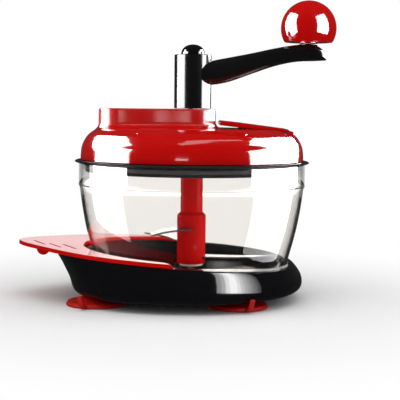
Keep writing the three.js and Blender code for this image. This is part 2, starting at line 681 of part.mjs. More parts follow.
function makeCompoundGear() {
  const pinion = gear(PINION_TEETH, UPPER_GEAR, gapFirst(PINION_TEETH), AXLE_X);
  const wheel = gear(WHEEL_TEETH, LOWER_GEAR, gapFirst(WHEEL_TEETH), AXLE_X);
  const core = rod(GEAR_HUB, 118.4, 142, MIDDLE, AXLE_X);
  return cut(join(core, pinion, wheel), rod(AXLE_RADIUS + GAP, 100, 160, SMALL, AXLE_X));
}

function makeOutputGear() {
  const wheel = gear(OUTPUT_TEETH, LOWER_GEAR, toothAtHalfTurn(OUTPUT_TEETH));
  return wheel.subtract(rod(SHAFT_SOCKET, 100, 150, HEX));
}

add("crank_gear", makeCrankGear(), "nylon");
add("compound_gear", makeCompoundGear(), "nylon");
add("output_gear", makeOutputGear(), "steel");
add("gear_axle", rod(AXLE_RADIUS, 111, 157.6, SMALL, AXLE_X), "steel");
add("crank_shaft_bush", tube(SHAFT_RADIUS + GAP, BUSH_RADIUS, 141.9, TURRET_TOP, MIDDLE), "nylon");
add("output_shaft_bush", tube(SHAFT_RADIUS + GAP, BUSH_RADIUS, 106.5, 119, MIDDLE), "nylon");

// Shafts: round in their bushes, six-sided where they drive; the flange keeps the small gear down
const hexRod = (bottom, top) => rod(SHAFT_RADIUS, bottom, top, HEX);

add("output_shaft", join(
  hexRod(90, 106),
  rod(SHAFT_RADIUS, 106, 119.6, SMALL),
  hexRod(119.6, 128),
  rod(FLANGE_RADIUS, 127.4, 129.4, MIDDLE),
), "steel");

add("crank_shaft", cut(join(
  rod(7, 130.6, 132.7, SMALL),
  hexRod(132, 141.5),
  rod(SHAFT_RADIUS, 141.5, TURRET_TOP, SMALL),
  hexRod(TURRET_TOP, 195.6),
), rod(2.1, 184, 200, SMALL)), "steel");

// Crank: a round column with a swept arm, its screw, cap, and the knob on its pin
const ARM_STATIONS = [
  [6, 181.2, 198, 14.2], [15.6, 181.3, 201.4, 14.2], [30, 183.9, 204.4, 13.6], [50, 191, 208.4, 12.6],
  [69, 197.6, 212.6, 11.8], [86.4, 201.4, 215.6, 11.2], [100, 202.2, 216.6, 10.6], [106, 202.5, 214.4, 9.6],
  [110, 202.7, 211.2, 8], [112.5, 202.9, 206, 5.4],
];

const CRANK_SCREW = { shank: 1.8, clear: 2.3, head: 3.8 };

function armRing([x, low, high, half]) {
  const middle = (low + high) / 2;
  const rise = (high - low) / 2;
  return Array.from({ length: 20 }, (_, i) => {
    const angle = (i + 0.5) * 2 * Math.PI / 20;
    const bulge = (value) => Math.sign(value) * Math.abs(value) ** 0.62;
    return [x, half * bulge(Math.cos(angle)), middle + rise * bulge(Math.sin(angle))];
  });
}

function makeCrankArm() {
  const foot = TURRET_TOP + GAP;
  const column = turned([
    [0, foot], [COLUMN_RADIUS - 0.5, foot], [COLUMN_RADIUS, foot + 0.5], [COLUMN_RADIUS, COLUMN_TOP - 0.8],
    [COLUMN_RADIUS - 0.8, COLUMN_TOP], [0, COLUMN_TOP],
  ], MIDDLE);
  const arm = loft(ARM_STATIONS.map(armRing));
  const neck = turned([
    [0, 208], [8.6, 208], [8.6, 214.6], [7.5, 215.8], [7.5, 216.6], [0, 216.6],
  ], MIDDLE, KNOB_X);
  return cut(
    join(column, arm, neck),
    rod(SHAFT_SOCKET, 150, 196.2, HEX),
    rod(CRANK_SCREW.clear, 190, 210, SMALL),
    rod(BUSH_RADIUS + GAP, 200, 210, MIDDLE),
    rod(AXLE_RADIUS + GAP, 200, 220, SMALL, KNOB_X),
    rod(5.2, 190, 205.6, SMALL, KNOB_X),
  );
}

add("crank_arm", makeCrankArm(), "black");
add("crank_washer", tube(CRANK_SCREW.clear, 7, 200.3, 201.3, SMALL), "steel");
add("crank_screw", turned([
  [0, 186], [CRANK_SCREW.shank, 187], [CRANK_SCREW.shank, 201.6], [CRANK_SCREW.head, 201.6],
  [CRANK_SCREW.head, 203.8], [0, 203.8],
], SMALL), "steel");
add("crank_cap", turned([
  [7, 202.6], [BUSH_RADIUS, 202.6], [BUSH_RADIUS, COLUMN_TOP + GAP], [10.1, COLUMN_TOP + GAP], [10, 208.6],
  [8.9, 211.4], [6.6, 213.7], [3.5, 215], [0, 215.4], [0, 213], [5, 211.6], [7, 209],
], MIDDLE), "black");

// The pin's foot is held in the arm; its head keeps the knob and the collar on.
const COLLAR_RADIUS = 8;

add("knob_pin", turned([
  [0, 203.4], [4.8, 203.4], [4.8, 205.3], [AXLE_RADIUS, 205.3], [AXLE_RADIUS, 232], [4.4, 232.4], [4.4, 235],
  [0, 236.4],
], SMALL, KNOB_X), "steel");
add("knob_collar", tube(AXLE_RADIUS + GAP, COLLAR_RADIUS, 216.9, 220.2, MIDDLE, KNOB_X), "red");

function makeKnob() {
  const start = Math.asin((KNOB_FLAT - KNOB_Z) / KNOB_RADIUS);
  const steps = 9;
  const ball = Array.from({ length: steps }, (_, i) => {
    const angle = start + (Math.PI / 2 - start) * i / steps;
    return [KNOB_RADIUS * Math.cos(angle), KNOB_Z + KNOB_RADIUS * Math.sin(angle)];
  });
  const top = [0, KNOB_Z + KNOB_RADIUS];
  const whole = turned([[0, KNOB_FLAT], [ball[0][0] - 0.8, KNOB_FLAT], ...ball, top], MIDDLE, KNOB_X);
  const collarRoom = rod(COLLAR_RADIUS + GAP, 200, 220.5, MIDDLE, KNOB_X);
  return cut(whole, collarRoom, rod(4.8, 200, 238, SMALL, KNOB_X));
}

add("knob", makeKnob(), "red");

export default root;
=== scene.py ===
import json
import math

import bpy
from mathutils import Matrix, Vector

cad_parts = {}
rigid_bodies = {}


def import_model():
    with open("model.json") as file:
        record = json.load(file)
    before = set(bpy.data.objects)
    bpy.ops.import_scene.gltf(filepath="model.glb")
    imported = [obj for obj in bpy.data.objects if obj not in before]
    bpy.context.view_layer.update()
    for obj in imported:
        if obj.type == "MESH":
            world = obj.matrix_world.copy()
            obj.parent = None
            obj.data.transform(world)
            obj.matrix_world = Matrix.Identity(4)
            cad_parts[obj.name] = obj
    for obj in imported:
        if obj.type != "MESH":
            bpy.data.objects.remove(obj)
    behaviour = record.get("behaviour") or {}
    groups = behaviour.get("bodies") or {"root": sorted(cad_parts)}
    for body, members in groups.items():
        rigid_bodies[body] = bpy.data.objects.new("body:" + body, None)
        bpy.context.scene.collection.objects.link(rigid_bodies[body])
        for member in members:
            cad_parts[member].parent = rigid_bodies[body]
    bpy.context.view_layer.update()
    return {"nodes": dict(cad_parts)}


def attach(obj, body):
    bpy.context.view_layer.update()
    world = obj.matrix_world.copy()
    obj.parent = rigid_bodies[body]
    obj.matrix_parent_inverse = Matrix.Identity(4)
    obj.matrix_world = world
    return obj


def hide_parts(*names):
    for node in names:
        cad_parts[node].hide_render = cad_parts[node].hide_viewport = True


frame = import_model()
nodes = frame["nodes"]

# Camera
# A long lens at the height of the lid's turret, looking slightly down and a little out of level.
# It stands straight in front of the bowl.

LOOKING_DOWN = 4.83
OUT_OF_LEVEL = 0.6
lens = bpy.data.cameras.new("camera")
lens.sensor_width = 36
lens.lens = 97.9
camera = bpy.data.objects.new("camera", lens)
bpy.context.scene.collection.objects.link(camera)
camera.location = (0.0206, -0.93, 0.1616)
pitch = Matrix.Rotation(math.radians(90 - LOOKING_DOWN), 4, "X")
roll = Matrix.Rotation(math.radians(OUT_OF_LEVEL), 4, "Z")
camera.rotation_euler = (pitch @ roll).to_euler()
bpy.context.scene.camera = camera

# Suction cups
# Four soft red rubber cups under the base. Each has a thin dished lip, a neck that snaps into the base
# and a tab to peel it off the table. Moulded in one piece, so turned and joined to its tab.

MM = 0.001
AXIS = 0.0134
SEAM = 0.00001
SMOOTH_UNDER = math.radians(40)


def start_point():
    """One vertex at the origin, in edit mode, ready to be drawn out."""
    bpy.ops.object.select_all(action="DESELECT")
    bpy.ops.mesh.primitive_plane_add(size=1, location=(0, 0, 0))
    bpy.ops.object.mode_set(mode="EDIT")
    bpy.ops.mesh.merge(type="CENTER")
    return bpy.context.object


def draw_line(points):
    """Moves the vertex to the first point and draws an edge to each of the others, in metres."""
    here = Vector(points[0])
    bpy.ops.transform.translate(value=here)
    for point in points[1:]:
        step = Vector(point) - here
        bpy.ops.mesh.extrude_vertices_move(TRANSFORM_OT_translate={"value": step})
        here = Vector(point)


def softened(corners, closed=False, steps=5):
    """The outline through (across, up) corners in millimetres; a third number is the rounding there."""
    line = []
    for i, (across, up, *rounding) in enumerate(corners):
        here = Vector((across, up))
        end = not closed and i in (0, len(corners) - 1)
        if end or not rounding:
            line.append(here)
            continue
        before = Vector(corners[i - 1][:2]) - here
        after = Vector(corners[(i + 1) % len(corners)][:2]) - here
        half = before.angle(after) / 2
        reach = min(rounding[0] / math.tan(half), before.length * 0.49, after.length * 0.49)
        first = here + before.normalized() * reach
        last = here + after.normalized() * reach
        for step in range(steps + 1):
            share = step / steps
            line.append(first.lerp(here, share).lerp(here.lerp(last, share), share))
    return line


def close_up(piece, name):
    """Merges the seams, closes open ends, points the faces outwards and smooths the shading."""
    bpy.ops.mesh.select_all(action="SELECT")
    bpy.ops.mesh.remove_doubles(threshold=SEAM)
    bpy.ops.mesh.select_all(action="SELECT")
    bpy.ops.mesh.fill_holes(sides=0)
    bpy.ops.mesh.select_all(action="SELECT")
    bpy.ops.mesh.normals_make_consistent(inside=False)
    bpy.ops.object.mode_set(mode="OBJECT")
    bpy.ops.object.shade_smooth_by_angle(angle=SMOOTH_UNDER)
    piece.name = name
    piece.data.name = name
    return piece


def turned(name, corners, closed=False, x=0, y=0, steps=96):
    """Turns a half outline about an upright axis, in millimetres from the bowl's axis."""
    piece = start_point()
    line = softened(corners, closed)
    if closed:
        line.append(line[0])
    draw_line([(AXIS + (x + across) * MM, y * MM, up * MM) for across, up in line])
    bpy.ops.mesh.select_all(action="SELECT")
    centre = (AXIS + x * MM, y * MM, 0)
    bpy.ops.mesh.spin(steps=steps, angle=2 * math.pi, center=centre, axis=(0, 0, 1))
    return close_up(piece, name)


def slab(name, outline, carry):
    """A flat outline of points in millimetres from the bowl's axis, carried along a step."""
    piece = start_point()
    points = [(AXIS + x * MM, y * MM, z * MM) for x, y, z in outline]
    draw_line([*points, points[0]])
    bpy.ops.mesh.select_all(action="SELECT")
    bpy.ops.mesh.remove_doubles(threshold=SEAM)
    bpy.ops.mesh.select_all(action="SELECT")
    bpy.ops.mesh.edge_face_add()
    bpy.ops.mesh.extrude_region_move(TRANSFORM_OT_translate={"value": Vector(carry) * MM})
    return close_up(piece, name)


def chosen(piece, *others):
    """Makes the piece the active one, with only it and the others selected."""
    bpy.ops.object.select_all(action="DESELECT")
    for other in others:
        other.select_set(True)
    piece.select_set(True)
    bpy.context.view_layer.objects.active = piece


def joined(piece, *others):
    """The others become part of the piece."""
    chosen(piece, *others)
    bpy.ops.object.join()
    return piece


def bevelled(piece, width, segments=3, angle=35):
    """Rounds the sharp edges by a width in millimetres."""
    bevel = piece.modifiers.new("edge", "BEVEL")
    bevel.width = width * MM
    bevel.segments = segments
    bevel.limit_method = "ANGLE"
    bevel.angle_limit = math.radians(angle)
    chosen(piece)
    bpy.ops.object.modifier_apply(modifier=bevel.name)
    return piece


def new_material(name):
    """A material, its nodes, its shader, and the place on the object that its noise is read at."""
    material = bpy.data.materials.new(name)
    material.use_nodes = True
    tree = material.node_tree
    place = tree.nodes.new("ShaderNodeTexCoord").outputs["Object"]
    return material, tree, tree.nodes["Principled BSDF"], place


def noise(tree, place, scale, detail):
    """A level that wanders from place to place."""
    texture = tree.nodes.new("ShaderNodeTexNoise")
    texture.inputs["Scale"].default_value = scale
    texture.inputs["Detail"].default_value = detail
    tree.links.new(place, texture.inputs["Vector"])
    return texture.outputs["Fac"]


def tinted(tree, shader, level, first, second):
    """The colour goes from the first tone to the second with the level."""
    tones = tree.nodes.new("ShaderNodeMix")
    tones.data_type = "RGBA"
    tones.inputs["A"].default_value = (*first, 1)
    tones.inputs["B"].default_value = (*second, 1)
    tree.links.new(level, tones.inputs["Factor"])
    tree.links.new(tones.outputs["Result"], shader.inputs["Base Color"])


def roughened(tree, shader, level, rough, spread, low=0.0, high=1.0):
    """The roughness grows by the spread while the level goes from low to high."""
    gloss = tree.nodes.new("ShaderNodeMapRange")
    gloss.inputs["From Min"].default_value = low
    gloss.inputs["From Max"].default_value = high
    gloss.inputs["To Min"].default_value = rough
    gloss.inputs["To Max"].default_value = rough + spread
    tree.links.new(level, gloss.inputs["Value"])
    tree.links.new(gloss.outputs["Result"], shader.inputs["Roughness"])


def embossed(tree, shader, level, strength, depth):
    """The surface stands out with the level, up to a depth in metres."""
    relief = tree.nodes.new("ShaderNodeBump")
    relief.inputs["Strength"].default_value = strength
    relief.inputs["Distance"].default_value = depth
    tree.links.new(level, relief.inputs["Height"])
    tree.links.new(relief.outputs["Normal"], shader.inputs["Normal"])


def plastic(name, colour, second, rough, spread, grain, bump, specular=0.5):
    """A moulded surface: two close tones, uneven gloss and a fine skin, all from noise on the object."""
    material, tree, shader, place = new_material(name)
    shader.inputs["Specular IOR Level"].default_value = specular
    cloud = noise(tree, place, scale=28, detail=4)
    tinted(tree, shader, cloud, colour, second)
    roughened(tree, shader, cloud, rough, spread, low=0.3, high=0.7)
    embossed(tree, shader, noise(tree, place, grain, detail=3), bump, depth=0.0002)
    return material


def dress(piece, material, body, replaced):
    """Gives a new piece its material, and says what it rides on and what it stands for."""
    piece.data.materials.clear()
    piece.data.materials.append(material)
    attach(piece, body)
    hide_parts(replaced)


cup_rubber = plastic(
    "red_rubber", (0.5, 0.006, 0.004), (0.6, 0.012, 0.006), rough=0.3, spread=0.12, grain=900, bump=0.25,
)
CUP_PLACES = {
    "front_left": (-77, -46),
    "front_right": (38.6, -53),
    "rear_left": (-77, 46),
    "rear_right": (38.6, 53),
}
CUP_OUTLINE = [
    (20.5, 0, 0.4), (24.6, 0, 0.6), (25, 1.2, 0.8), (23.6, 3.4, 1.2), (15, 5.4, 6), (11, 7, 2),
    (6, 7.4, 0.8), (6, 10.2, 0.3), (7.4, 10.5, 0.5), (7.2, 11.8, 0.5), (3, 11.8, 0.3), (3, 6.4, 0.3),
    (8, 6.2, 3), (17, 3.6, 8),
]
TAB_TURN = 72
TAB_OUTLINE = [
    (22.5, 1.2), (27.5, 1.1), (31, 3.4), (36.2, 11.4), (34.8, 12.5), (30, 5.6), (27, 3.3), (22.5, 3.2),
]
TAB_WIDTH = 4

for place, (x, y) in CUP_PLACES.items():
    turn = math.radians(180 - TAB_TURN if x < 0 else TAB_TURN) * math.copysign(1, y)
    outward = Vector((math.cos(turn), math.sin(turn), 0))
    aside = Vector((-outward.y, outward.x, 0)) * TAB_WIDTH
    foot = Vector((x, y, 0)) - aside / 2
    tab_line = [foot + outward * across + Vector((0, 0, up)) for across, up in TAB_OUTLINE]
    tab = bevelled(slab("tab", tab_line, aside), 0.6)
    cup = joined(turned("cup_" + place, CUP_OUTLINE, closed=True, x=x, y=y, steps=64), tab)
    dress(cup, cup_rubber, "base", "suction_cup_" + place)

# Base shell
# A boat-shaped shell in glossy black plastic with a tilted rim. It is round under the bowl and drawn out
# to the left under the lever, with a round tub sunk in it for the bowl. Moulded in one piece.

black_gloss = plastic(
    "black_gloss", (0.0035, 0.0035, 0.0045), (0.006, 0.006, 0.007),
    rough=0.05, spread=0.05, grain=420, bump=0.04, specular=0.4,
)
RIM_HEIGHT = 36.0
RIM_SLOPE = 0.057
FOOT = 7.5
WALL = 2.6
FRONT_WALL = [(0, 88.5), (0.07, 92), (0.16, 94), (0.35, 95), (0.8, 95), (0.93, 94.6), (1, 93.6)]
RIGHT_END = [
    (0, 88), (0.07, 91.5), (0.16, 94), (0.35, 95.2), (0.6, 94), (0.8, 91), (0.93, 88.2), (1, 86.4),
]
LEFT_END = [
    (0, 97), (0.07, 99.5), (0.16, 101), (0.35, 103), (0.6, 107.5), (0.8, 111.5), (0.93, 114.6), (1, 115),
]
RIGHT_POWER = 2.15
LEFT_POWER = 2.6
LEFT_POWER_LOSS = 0.3
TUB = [(20, 72.4), (21.7, 77.9), (25.7, 81.2), (31.7, 83), (39.7, 85.2), (49.7, 87.9)]
UNDER_TUB = [(24.8, 83.4), (20.9, 80.1), (19, 77.4), (17.5, 74.6), (17.5, 0)]
TUB_RADIUS = 85
LEG_SLOTS = {"x": (-23.5, -10.9), "y": (85.8, 89.3), "z": (25, 60)}
SLIVER = 0.000002
SLIT = 0.00003
SMOOTH_CUTS_UNDER = math.radians(35)


def full_turn(steps):
    return [2 * math.pi * k / steps for k in range(steps)]


ANGLES = full_turn(160)


def read_curve(table, place):
    """A smooth reading of a table of (place, value) pairs."""
    k = max([i for i, (at, _) in enumerate(table[:-1]) if at <= place] or [0])
    (x1, y1), (x2, y2) = table[k], table[k + 1]
    x0, y0 = table[max(k - 1, 0)]
    x3, y3 = table[min(k + 2, len(table) - 1)]
    share = (place - x1) / (x2 - x1)
    slope_1 = (y2 - y0) / (x2 - x0) * (x2 - x1)
    slope_2 = (y3 - y1) / (x3 - x1) * (x2 - x1)
    square = share * share
    cube = square * share
    held = (2 * cube - 3 * square + 1) * y1 + (3 * square - 2 * cube) * y2
    return held + (cube - 2 * square + share) * slope_1 + (cube - square) * slope_2


def rim_at(x):
    return RIM_HEIGHT - RIM_SLOPE * x


def shell_radius(angle, share):
    """How far the shell's outside is from the bowl's axis, from 0 at its foot to 1 at its rim."""
    along_x = math.cos(angle)
    end = read_curve(RIGHT_END if along_x > 0 else LEFT_END, share)
    power = RIGHT_POWER if along_x > 0 else LEFT_POWER - LEFT_POWER_LOSS * share
    front = read_curve(FRONT_WALL, share)
    return ((abs(along_x) / end) ** power + (abs(math.sin(angle)) / front) ** power) ** (-1 / power)


def shell_ring(share, inset=0.0, lift=0.0):
    ring = []
    for angle in ANGLES:
        radius = shell_radius(angle, share) - inset
        x = radius * math.cos(angle)
        ring.append((x, radius * math.sin(angle), FOOT + share * (rim_at(x) - FOOT) + lift))
    return ring


def round_ring(radius, height):
    return [(radius * math.cos(angle), radius * math.sin(angle), height) for angle in ANGLES]


def tub_rim(outward, drop):
    """The ring where the tub meets the tilted rim, moved out and down a little for its rounding."""
    ring = []
    for angle in ANGLES:
        height = rim_at(TUB_RADIUS * math.cos(angle)) - drop
        radius = read_curve(TUB, height) + outward
        ring.append((radius * math.cos(angle), radius * math.sin(angle), height))
    return ring


def wrapped(name, rings):
    """A sheet of squares wrapped round: each of its rows is laid on one ring of points."""
    around = len(rings[0])
    bpy.ops.object.select_all(action="DESELECT")
    size = {"x_subdivisions": around, "y_subdivisions": len(rings) - 1}
    bpy.ops.mesh.primitive_grid_add(**size, size=1, location=(0, 0, 0))
    piece = bpy.context.object
    for k, vertex in enumerate(piece.data.vertices):
        row, column = divmod(k, around + 1)
        x, y, z = rings[row][column % around]
        vertex.co = (AXIS + x * MM, y * MM, z * MM)
    bpy.ops.object.mode_set(mode="EDIT")
    return close_up(piece, name)


def block(x0, x1, y0, y1, z0, z1):
    """A plain block, used only to cut with or to build on, in millimetres."""
    bpy.ops.object.select_all(action="DESELECT")
    bpy.ops.mesh.primitive_cube_add(size=1, location=(0, 0, 0))
    piece = bpy.context.object
    size = Vector((x1 - x0, y1 - y0, z1 - z0)) * MM
    middle = Vector(((x0 + x1) / 2, (y0 + y1) / 2, (z0 + z1) / 2)) * MM + Vector((AXIS, 0, 0))
    piece.data.transform(Matrix.Translation(middle) @ Matrix.Diagonal((*size, 1)))
    return piece


def rod(radius, x, y, z0, z1, steps=48):
    """A plain upright rod, used only to cut with or to build on, in millimetres."""
    return turned("rod", [(0, z0), (radius, z0), (radius, z1), (0, z1)], x=x, y=y, steps=steps)


def carved(piece, *tools, operation="DIFFERENCE"):
    """Cuts the tools out of the piece, or adds them to it, and removes them."""
    for tool in tools:
        boolean = piece.modifiers.new("carve", "BOOLEAN")
        boolean.operation = operation
        boolean.solver = "EXACT"
        boolean.object = tool
        chosen(piece)
        bpy.ops.object.modifier_apply(modifier=boolean.name)
        bpy.data.objects.remove(tool)


def evened(piece):
    """Clears the slivers and slits that cutting leaves, and gives shading that flat faces don't bend."""
    chosen(piece)
    bpy.ops.object.mode_set(mode="EDIT")
    bpy.ops.mesh.select_all(action="SELECT")
    bpy.ops.mesh.remove_doubles(threshold=SLIVER)
    bpy.ops.mesh.dissolve_degenerate(threshold=SLIVER)
    bpy.ops.mesh.select_all(action="DESELECT")
    bpy.ops.mesh.select_mode(type="VERT")
    bpy.ops.mesh.select_non_manifold()
    bpy.ops.mesh.remove_doubles(threshold=SLIT)
    bpy.ops.mesh.select_all(action="DESELECT")
    bpy.ops.mesh.select_non_manifold()
    bpy.ops.mesh.fill_holes(sides=6)
    bpy.ops.mesh.select_all(action="SELECT")
    bpy.ops.mesh.normals_make_consistent(inside=False)
    bpy.ops.object.mode_set(mode="OBJECT")
    bpy.ops.object.shade_smooth_by_angle(angle=SMOOTH_CUTS_UNDER)
    weigh = piece.modifiers.new("even", "WEIGHTED_NORMAL")
    weigh.keep_sharp = True
    bpy.ops.object.modifier_apply(modifier=weigh.name)


def both_sides(inner, outer):
    """The nearer and the farther end of something at the front, and of its twin at the rear."""
    return [(-outer, -inner), (inner, outer)]


outside = [0.03, 0.07, 0.12, 0.18, 0.26, 0.36, 0.48, 0.6, 0.7, 0.8, 0.87, 0.93, 0.97]
shell = wrapped("base_shell", [
    round_ring(0, 20),
    *[round_ring(radius, height) for height, radius in TUB[:3]],
    tub_rim(0, 1.6),
    tub_rim(0.1, 0.5),
    tub_rim(0.4, 0.12),
    tub_rim(0.9, 0),
    shell_ring(1, 0.9),
    shell_ring(1, 0.35, -0.15),
    shell_ring(1, 0, -0.6),
    *[shell_ring(share) for share in reversed(outside)],
    shell_ring(0, 0, 0.2),
    shell_ring(0, 0.5),
    shell_ring(0, WALL),
    *[shell_ring(share, WALL) for share in (0.16, 0.35, 0.6, 0.8, 0.9)],
    *[round_ring(radius, height) for height, radius in UNDER_TUB],
])
for near, far in both_sides(*LEG_SLOTS["y"]):
    carved(shell, block(*LEG_SLOTS["x"], near, far, *LEG_SLOTS["z"]))
evened(shell)
dress(shell, black_gloss, "base", "base_housing")

# Inside the base
# The bottom cover with its four screws, and the yoke with four stems that draws the cups' middles up.
# Their shapes are right as they are, so they only get their finishes.


def finish_nodes(material, *names):
    for name in names:
        nodes[name].data.materials.clear()
        nodes[name].data.materials.append(material)


def metal(name, colour, rough, lines):
    """Ground steel: fine lines one way, from stretched noise, in its gloss and its relief."""
    material, tree, shader, place = new_material(name)
    shader.inputs["Metallic"].default_value = 1
    stretched = tree.nodes.new("ShaderNodeMapping")
    stretched.inputs["Scale"].default_value = lines
    tree.links.new(place, stretched.inputs["Vector"])
    grain = noise(tree, stretched.outputs["Vector"], scale=40, detail=5)
    tinted(tree, shader, grain, [c * 0.85 for c in colour], colour)
    roughened(tree, shader, grain, rough, spread=0.2)
    embossed(tree, shader, grain, strength=0.15, depth=0.0001)
    return material


black_satin = plastic(
    "black_satin", (0.008, 0.008, 0.009), (0.013, 0.013, 0.014),
    rough=0.32, spread=0.15, grain=1400, bump=0.3,
)
white_nylon = plastic(
    "nylon", (0.74, 0.73, 0.68), (0.8, 0.79, 0.75), rough=0.38, spread=0.12, grain=700, bump=0.12,
)
steel = metal("steel", (0.62, 0.62, 0.63), rough=0.16, lines=(1, 1, 12))
CORNERS = [f"{end}_{side}" for end in ("front", "rear") for side in ("left", "right")]
finish_nodes(black_satin, "base_bottom_cover")
finish_nodes(white_nylon, "suction_yoke")
finish_nodes(steel, "lever_pin_front", "lever_pin_rear")
finish_nodes(steel, *["base_screw_" + corner for corner in CORNERS])
finish_nodes(steel, *["cup_stem_" + corner for corner in CORNERS])

# Suction lever
# A winged red plate that lies on the base's rim and reaches far out to the left. It has three slanted
# grooves on its tail, a half-round nub below for the finger, and two legs that go down inside the base.

red_gloss = plastic(
    "red_gloss", (0.565, 0.0015, 0.0015), (0.6, 0.003, 0.002),
    rough=0.05, spread=0.05, grain=420, bump=0.04,
)
PLATE_THICKNESS = 3.3
PLATE_LIFT = 0.25
TIP_X = -14
TIP_INSET = 6
INNER = (92, 87.5)
TAIL_X = -147.7
SIDE_CURVES = [
    [(TIP_X, 95), (-42, 93), (-70, 84), (-91, 68)],
    [(-91, 68), (-110, 54), (-124, 38), (-136, 25)],
    [(-136, 25), (-144, 16.3), (TAIL_X, 8), (TAIL_X, 0)],
]
LEG_OUTLINE = [
    (-7, 38.5), (-7, 28), (5.5, 12.4), (16, 12.4), (16, 14), (9.5, 14), (3.5, 26), (3.5, 36.4),
    (0, 38.5),
]
PIVOT_X = -15.5
LEG_Y = (86.3, 88.9)
GROOVES = [((-135, -3), (-122, -26)), ((-120, -17), (-107, -37)), ((-109, -16), (-94, -41))]
GROOVE_HALF = 1.15
GROOVE_DEPTH = 1
GROOVE_SQUARENESS = 0.35
NUB_X = -123
NUB_RADIUS = 5.4
NUB_HALF = 31
NUB_SUNK = 0.5


def bezier(corners, share):
    points = [Vector(corner) for corner in corners]
    while len(points) > 1:
        points = [a.lerp(b, share) for a, b in zip(points, points[1:])]
    return points[0]


def laid(x, y, up=0.0):
    """A point of the plate, as far above its underside as said, where the plate lies on the rim."""
    return (x + up * RIM_SLOPE, y, rim_at(x) + PLATE_LIFT + up)


def squarer(wave, power):
    """A sine or cosine brought closer to its ends by a power below one."""
    return math.copysign(abs(wave) ** power, wave)


def crosswise(name, side, half):
    """A piece of one side outline, in (x, z), that reaches as far to the front as to the rear."""
    return slab(name, [(x, -half, z) for x, z in side], (0, 2 * half, 0))


side_line = [bezier(curve, k / 20) for curve in SIDE_CURVES for k in range(20)]
outline = [(x, y) for x, y in side_line] + [(TAIL_X, 0)]
outline += [(x, -y) for x, y in reversed(side_line)]
tip_turn = math.acos((TIP_X - TIP_INSET) / INNER[0])
for k in range(61):
    turn = 2 * math.pi - tip_turn + (2 * tip_turn - 2 * math.pi) * k / 60
    outline.append((INNER[0] * math.cos(turn), INNER[1] * math.sin(turn)))
thickness = (PLATE_THICKNESS * RIM_SLOPE, 0, PLATE_THICKNESS)
plate = bevelled(slab("lever_plate", [laid(x, y) for x, y in outline], thickness), 0.7, angle=50)
for (x0, y0), (x1, y1) in GROOVES:
    along = Vector((x1 - x0, y1 - y0))
    across = Vector((-along.y, along.x)).normalized()
    ring = []
    for turn in full_turn(24):
        width = GROOVE_HALF * math.sin(turn)
        reach = 0.5 + 0.5 * squarer(math.cos(turn), GROOVE_SQUARENESS)
        spot = Vector((x0, y0)) + along * reach + across * width
        ring.append(laid(spot.x, spot.y, PLATE_THICKNESS - GROOVE_DEPTH))
    carved(plate, slab("groove", ring, (0, 0, 4)))
below = rim_at(NUB_X) + PLATE_LIFT + NUB_SUNK
half_round = [math.pi * (1 + k / 20) for k in range(21)]
nub_side = [(NUB_X + NUB_RADIUS * math.cos(t), below + NUB_RADIUS * math.sin(t)) for t in half_round]
carved(plate, bevelled(crosswise("nub", nub_side, NUB_HALF), 0.5), operation="UNION")
for near, far in both_sides(*LEG_Y):
    leg = slab("leg", [(PIVOT_X + x, near, z) for x, z in LEG_OUTLINE], (0, far - near, 0))
    carved(plate, leg, operation="UNION")
evened(plate)
dress(plate, red_gloss, "lever", "suction_lever")

# Bowl
# A clear plastic bowl with a stepped collar under its rim and a low boss that holds the cutter's pin.
# Moulded in one piece with a wall of two and a half millimetres.

clear, tree, shader, place = new_material("clear_bowl")
shader.inputs["Base Color"].default_value = (1, 0.982, 0.955, 1)
shader.inputs["Transmission Weight"].default_value = 1
shader.inputs["IOR"].default_value = 1.49
haze = noise(tree, place, scale=60, detail=4)
roughened(tree, shader, haze, rough=0.01, spread=0.04)
embossed(tree, shader, haze, strength=0.03, depth=0.0003)

BOWL_OUTLINE = [
    (0, 20.3), (73, 20.3, 6), (78.6, 22.6, 8), (81, 26.6, 12), (82.6, 32, 60), (84.8, 40, 90),
    (87.5, 50, 200), (90.4, 62, 200), (93.4, 79, 300), (95.4, 94.7, 0.8), (96.4, 96.3, 0.6),
    (96.4, 115, 0.7), (93.5, 115, 0.7), (93.5, 97.2, 0.8), (92.8, 95.2, 0.8), (90.9, 79, 300),
    (87.9, 62, 200), (85, 50, 200), (82.3, 40, 90), (80.1, 32, 60), (78.4, 27, 10), (75, 24, 6),
    (70, 23.3, 6), (7, 23.3, 1.2), (6.5, 27, 0.5), (3.2, 27, 0.2), (3.2, 22.2), (0, 22.2),
]
bowl = turned("clear_bowl", BOWL_OUTLINE, steps=160)
dress(bowl, clear, "bowl", "bowl")
bowl.visible_shadow = False
finish_nodes(steel, "cutter_pin")

# Cutter
# A tall red hub that turns on the bowl's pin, with three curved steel blades set in it at three heights,
# a third of a turn apart. The blades are stamped, ground to an edge along their front and pressed in.

HUB_OUTLINE = [
    (0, 62), (6.3, 62), (6.3, 29.1, 0.3), (12.3, 29.1, 0.6), (12.3, 71, 1.2), (9.5, 73.5, 1.2),
    (9.5, 104.4, 0.6), (5.6, 104.4, 0.3), (5.6, 88), (0, 88),
]
BLADES = {"lower": (34, 0), "middle": (46.5, 120), "upper": (59, 240)}
BLADE_THICKNESS = 1.5
BLADE_ROOT = 8.7
SLOT_X = (8.4, 18)
SLOT_HALF = 8.3
SLOT_PLAY = 0.15
hub = turned("cutter_post", HUB_OUTLINE, steps=72)
for height, turn in BLADES.values():
    top = height + BLADE_THICKNESS
    slot = block(*SLOT_X, -SLOT_HALF, SLOT_HALF, height - SLOT_PLAY, top + SLOT_PLAY)
    about_axis = Matrix.Translation((AXIS, 0, 0)) @ Matrix.Rotation(math.radians(turn), 4, "Z")
    slot.data.transform(about_axis @ Matrix.Translation((-AXIS, 0, 0)))
    carved(hub, slot)
evened(hub)
dress(hub, red_gloss, "cutter", "cutter_hub")
finish_nodes(white_nylon, "cutter_foot_bush")

